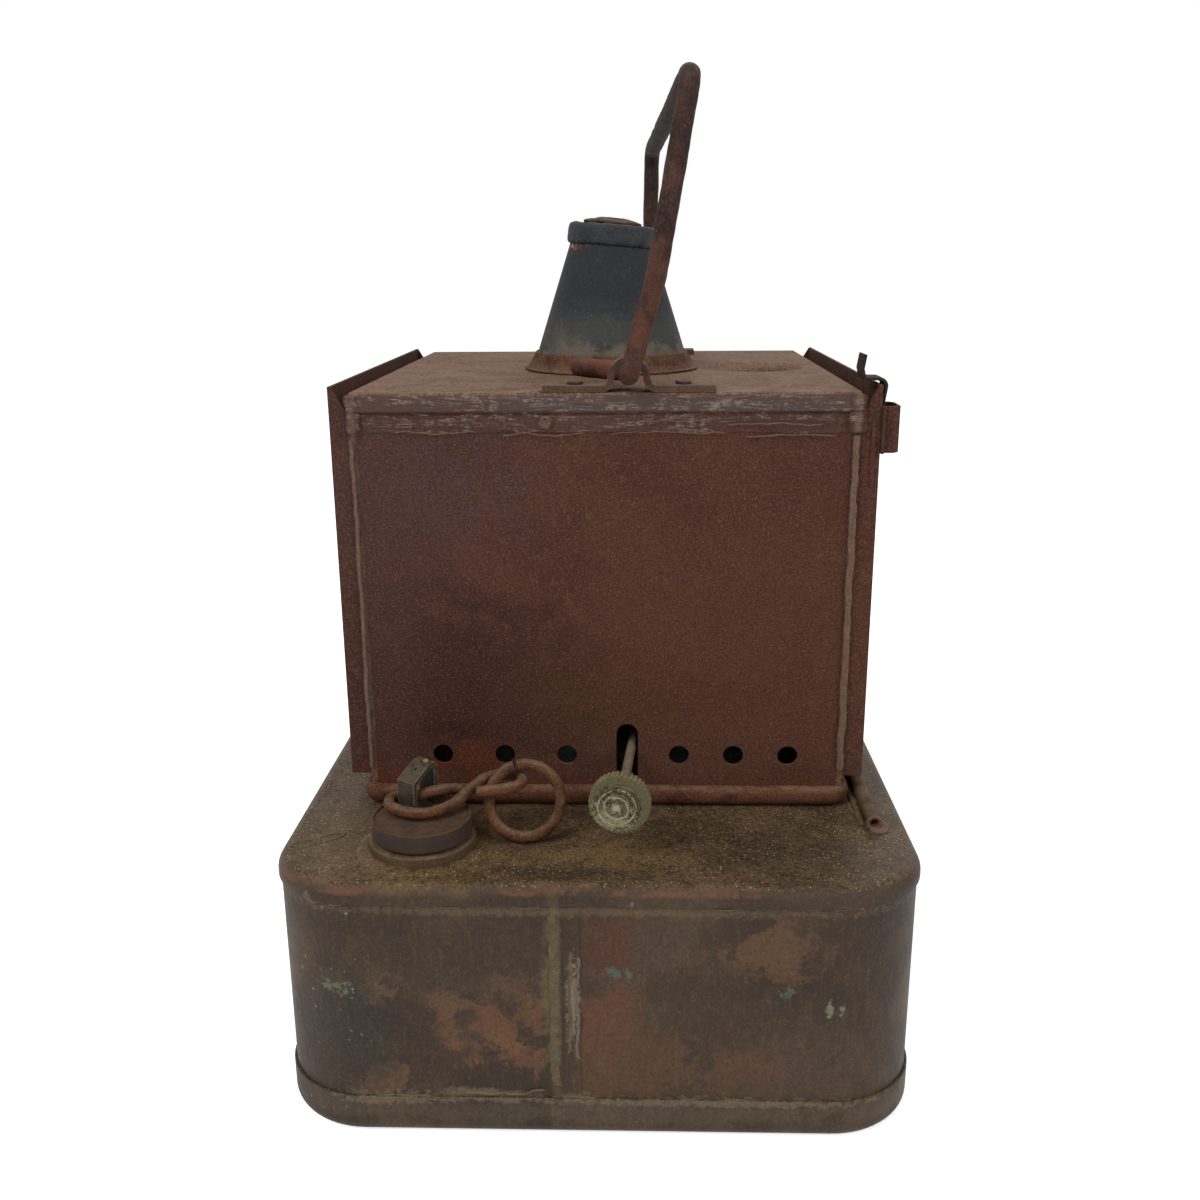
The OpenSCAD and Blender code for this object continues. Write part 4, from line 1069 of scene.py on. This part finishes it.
@dataclass
class Tank:
    """The copper tank, its solder and the hinge along its right edge."""

    bench: Bench
    face: float = -120.6
    top: float = 87.0
    hinge: Point = (89.45, -81.3, 89.5)

    def sheet(self) -> None:
        """Dresses the tank's three sheets and the hinge."""
        self.bench.dress(TANK_SHEET, "tank_wall", "tank_top", "tank_bottom")
        self.bench.dress(HINGE, "hinge_tubes", "hinge_pin")

    def seams(self) -> None:
        """Lays the solder of the lap and of both rims."""
        y = self.face
        lap = (
            (TANK_SOLDER, "left", -12.7, 18, 78, 2.2, 1.8),
            (TANK_SOLDER_GREY, "right_outer", -5.6, 28, 64, 0.8, 2.0),
            (TANK_SOLDER, "right_inner", -8.0, 30, 66, 0.9, 1.4),
        )
        for role, name, x, low, high, wide, wave in lap:
            self.bench.run(role, "solder_lap_" + name, (x, y, low), (x, y, high), wide, 0.12, Axis.Y, wave, 1.0)
        rims = (
            ("top_left", (-80, 80.7), (-12, 80.7), 0.5, 0.45, 1.4),
            ("top_right", (-4, 80.6), (80, 80.6), 0.5, 0.45, 1.2),
            ("foot_left", (-74, 13.6), (-44, 13.6), 0.7, 0.5, 2.0),
            ("foot_mid", (-42, 15.6), (-16, 15.2), 0.7, 0.5, 2.2),
            ("foot_right", (-6, 13.4), (74, 13.0), 0.7, 0.5, 2.0),
        )
        for name, (x0, z0), (x1, z1), wide, proud, wave in rims:
            self.bench.run(TANK_SOLDER, "solder_rim_" + name, (x0, y + 0.5, z0), (x1, y + 0.5, z1), wide, proud,
                           Axis.Y, wave)
        self.bench.drop(TANK_SOLDER, "solder_corner", (-84, -116.6, 82), (4.4, 1.7, 3), Axis.Y)
        self.bench.drop(TANK_SOLDER_GREY, "solder_bead", (11, y - 0.1, 82), (0.7, 0.7, 1), Axis.Y)

    def scars(self) -> None:
        """Lays the leaf-shaped scars of old solder on the tank's top, and the dirt by the hinge."""
        for i, (x, y) in enumerate(((-93.5, -94), (-86.5, -89.5))):
            self.bench.hoop(TANK_SOLDER, f"scar_{i}", (x, y, self.top), 3.4, 0.32, 0.9, 0.4, (1.5, 0.6), 38)
        x, y, z = self.hinge
        self.bench.hoop(HINGE_SOLDER, "hinge_lip", (x, y, z), 2.1, 0.55, 1.0, out=Axis.Y)
        self.bench.drop(HINGE_SOLDER, "hinge_solder", (x + 1.5, y + 3, self.top + 0.2), (3.8, 6, 0.9))
        self.bench.run(Role(Body.FOUNT, "hinge_iron", DUST_HEAP), "hinge_fillet", (x - 3, y + 2, self.top + 0.1),
                       (x - 3, y + 60, self.top + 0.1), 2.2, 0.8, Axis.Z, 0.5)

    def build(self) -> None:
        """Makes the tank."""
        self.sheet()
        self.seams()
        self.scars()


@dataclass
class Filler:
    """Filler boss, cap, washer, lug, link and ring."""

    bench: Bench
    centre: tuple[float, float] = (-55.5, -94.2)
    boss_r: float = 16.8
    cap_r: float = 15.7
    cap_top: float = 97.4
    lug_bead: Point = (-55.1, -84.6, 111.8)

    def build(self) -> None:
        """Makes the filler."""
        bench = self.bench
        x, y = self.centre
        bench.dress(Role(Body.FOUNT, "filler_brass", DUST_HEAP), "filler_boss", width=0.0008)
        bench.dress(Role(Body.SEAL, "washer", WASHER), "cap_washer")
        bench.dress(Role(Body.CAP, "filler_brass", FILLER), "filler_cap", width=0.0003)
        bench.dress(Role(Body.CAP, "filler_brass", LUG), "cap_lug", width=0.0003)
        bench.weather(Role(Body.LINK, "rusty_wire", WIRE_RUST), "cap_link", 0.0004, 0.003, 0.00035)
        bench.weather(Role(Body.RING, "rusty_wire", WIRE_RUST), "split_ring", 0.0004, 0.003, 0.0003)
        bench.hoop(TANK_SHEET, "dust_skirt", (x, y, 86.3), self.boss_r + 0.4, 4.2, 0.36, 0.2)
        bench.drop(CAP_EDGE, "lug_bead", self.lug_bead, (0.9, 0.9, 0.8))
        bench.hoop(CAP_EDGE, "cap_edge", (x, y, self.cap_top - 0.05), self.cap_r - 0.35, 0.3, 1.0, 0.15)
        bench.hoop(Role(Body.CAP, "filler_brass", DUST_HEAP), "lug_solder", (x - 2.2, y + 7.9, self.cap_top - 0.6),
                   5.4, 0.9, 0.6, 0.4, (0.9, 1.15), -35)


@dataclass
class Burner:
    """The burner inside the case, its wick and its winder."""

    bench: Bench

    def build(self) -> None:
        """Makes the burner."""
        bench = self.bench
        bench.dress(BURNER_PART, "burner_collar", "burner_base", "wick_tube", "winder_bracket", "burner_shell",
                    "burner_dome")
        bench.dress(Role(Body.WICK, "wick_cotton", Cotton()), "wick")
        bench.weather(Role(Body.WINDER, "winder_brass", SPINDLE), "winder_spindle", 0.0004, 0.002, 0.0002)
        bench.dress(Role(Body.WINDER, "burner_brass", BURNER), "winder_wheels")
        bench.dress(Role(Body.WINDER, "winder_brass", KNOB), "winder_knob", width=0.00015)


@dataclass
class Case:
    """The case's walls, lid, pockets, keeper, clip and solder."""

    bench: Bench
    left: float = -78.05
    right: float = 81.65
    rear: float = -63.9
    lid_top: float = 226.6

    def lid(self) -> None:
        """Makes the lid, with its rear and front edges rolled over."""
        lid = self.bench.copy("case_lid")
        top = max(v.co.z for v in lid.data.vertices)
        rear = min(v.co.y for v in lid.data.vertices)
        front = max(v.co.y for v in lid.data.vertices)

        def rolled(p: Vector, q: Vector) -> bool:
            """Tells the long top edges at the rear and the front."""
            level = min(p.z, q.z) > top - 1e-5
            return level and any(max(abs(p.y - y), abs(q.y - y)) < 1e-5 for y in (rear, front))

        self.bench.pick_edges(lid, rolled)
        bpy.ops.mesh.bevel(offset=0.0017, segments=5)
        bpy.ops.object.mode_set(mode="OBJECT")
        self.bench.ease(lid, 0.0002)
        self.bench.place(lid, Role(Body.CASE, "lid_iron", LID), "case_lid")
        self.bench.drop(Role(Body.CASE, "lid_iron", SOLDER_GREY), "lid_crumb", (-15.4, -61, self.lid_top),
                        (3.4, 1.5, 0.8))

    def walls(self) -> None:
        """Makes the walls and what is fixed to them."""
        bench = self.bench
        bench.dress(CASE_SHEET, "rear_wall", "front_wall", "left_wall", "right_wall", "left_pocket", "right_pocket",
                    "clip_keeper")
        bench.weather(Role(Body.CASE, "case_iron", BEAD_RUST), "base_bead", 0.0008, 0.012, 0.0007)
        bench.dress(Role(Body.CASE, "hinge_iron", HINGE_RUST), "case_knuckles")
        bench.dress(Role(Body.CLIP, "clip_steel", CLIP_RUST), "spring_clip")

    def solder(self) -> None:
        """Lays the solder down the rear corners and along the band under the lid."""
        y = self.rear
        upright = (
            ("left", self.left + 0.5, 212, 1.1, 1.5),
            ("right", self.right - 1.1, 213, 1.9, 0.9),
        )
        for name, x, high, wide, sunk in upright:
            self.bench.run(CASE_SOLDER, "solder_corner_" + name, (x, y, 100), (x, y, high), wide, 0.16, Axis.Y, 0.5,
                           sunk)
        level = (
            (-64, -38, 213.9),
            (-30, -4, 213.2),
            (4, 40, 213.8),
            (46, 74, 213.1),
            (12, 34, 217.6),
            (40, 70, 216.3),
            (-50, -24, 224.4),
            (-14, 12, 223.3),
            (20, 48, 224.7),
        )
        for i, (low, high, z) in enumerate(level):
            self.bench.run(CASE_SOLDER, f"solder_band_{i}", (low, y, z), (high, y, z), 0.35, 0.1, Axis.Y, 1.0, 1.8)
        x = self.right + 4.4
        self.bench.run(CASE_SHEET, "solder_pocket", (x, y + 1.3, 196), (x, y + 1.3, 215), 1.5, 0.4, Axis.Y, 0.4)
        self.bench.hoop(CASE_SOLDER, "solder_blister", (-16.4, y, 217.2), 1.5, 0.5, 0.5, 0.7, out=Axis.Y)

    def laps(self) -> None:
        """Makes the crumpled laps of the lid's rim at the two rear corners."""
        for name, x in (("left", self.left + 1.1), ("right", self.right - 0.9)):
            self.bench.run(CASE_SHEET, "lap_" + name, (x, self.rear, 213.5), (x, self.rear, self.lid_top - 0.6), 4.2,
                           0.4, Axis.Y, 1.6)

    def build(self) -> None:
        """Makes the case."""
        self.walls()
        self.lid()
        self.solder()
        self.laps()


@dataclass
class Chimney:
    """Collar, cone, rim and baffle."""

    bench: Bench

    def build(self) -> None:
        """Makes the chimney."""
        bench = self.bench
        bench.weather(Role(Body.CASE, "chimney_iron", COLLAR_RUST), "chimney_collar", 0.0006, 0.006, 0.0004)
        bench.dress(Role(Body.CASE, "chimney_iron", CONE_GREY), "chimney_cone")
        bench.weather(Role(Body.CASE, "chimney_iron", RIM_GREY), "chimney_rim", 0.0005, 0.005, 0.0008)
        bench.weather(Role(Body.CASE, "chimney_iron", BAFFLE_RUST), "chimney_baffle", 0.0005, 0.006, 0.0012)


@dataclass
class Bail:
    """The wire bail and its two brackets."""

    bench: Bench

    def build(self) -> None:
        """Makes the bail."""
        self.bench.dress(BRACKET, "rear_bracket", "front_bracket", width=0.0003)
        self.bench.weather(BRACKET, "bracket_rivets", 0.0003, 0.002, 0.0004)
        self.bench.weather(Role(Body.BAIL, "bail_iron", BAIL_RUST), "bail_handle", 0.0007, 0.008, 0.0005)


@dataclass
class Lens:
    """The bullseye lens and what holds it."""

    bench: Bench

    def build(self) -> None:
        """Makes the lens."""
        self.bench.dress(Role(Body.CASE, "lens_ring_brass", BURNER), "lens_ring", "lens_ring_rivets")
        self.bench.dress(Role(Body.CASE, "washer", WASHER), "lens_packing")
        self.bench.dress(Role(Body.CASE, "lens_glass", BullseyeGlass()), "lens", width=0)


def main() -> None:
    """Builds the scene."""
    logging.basicConfig(level=logging.INFO, format="%(message)s")
    Studio().build()
    bench = Bench(Finishes())
    for part in (Tank, Filler, Burner, Case, Chimney, Bail, Lens):
        part(bench).build()


if __name__ == "__main__":
    main()
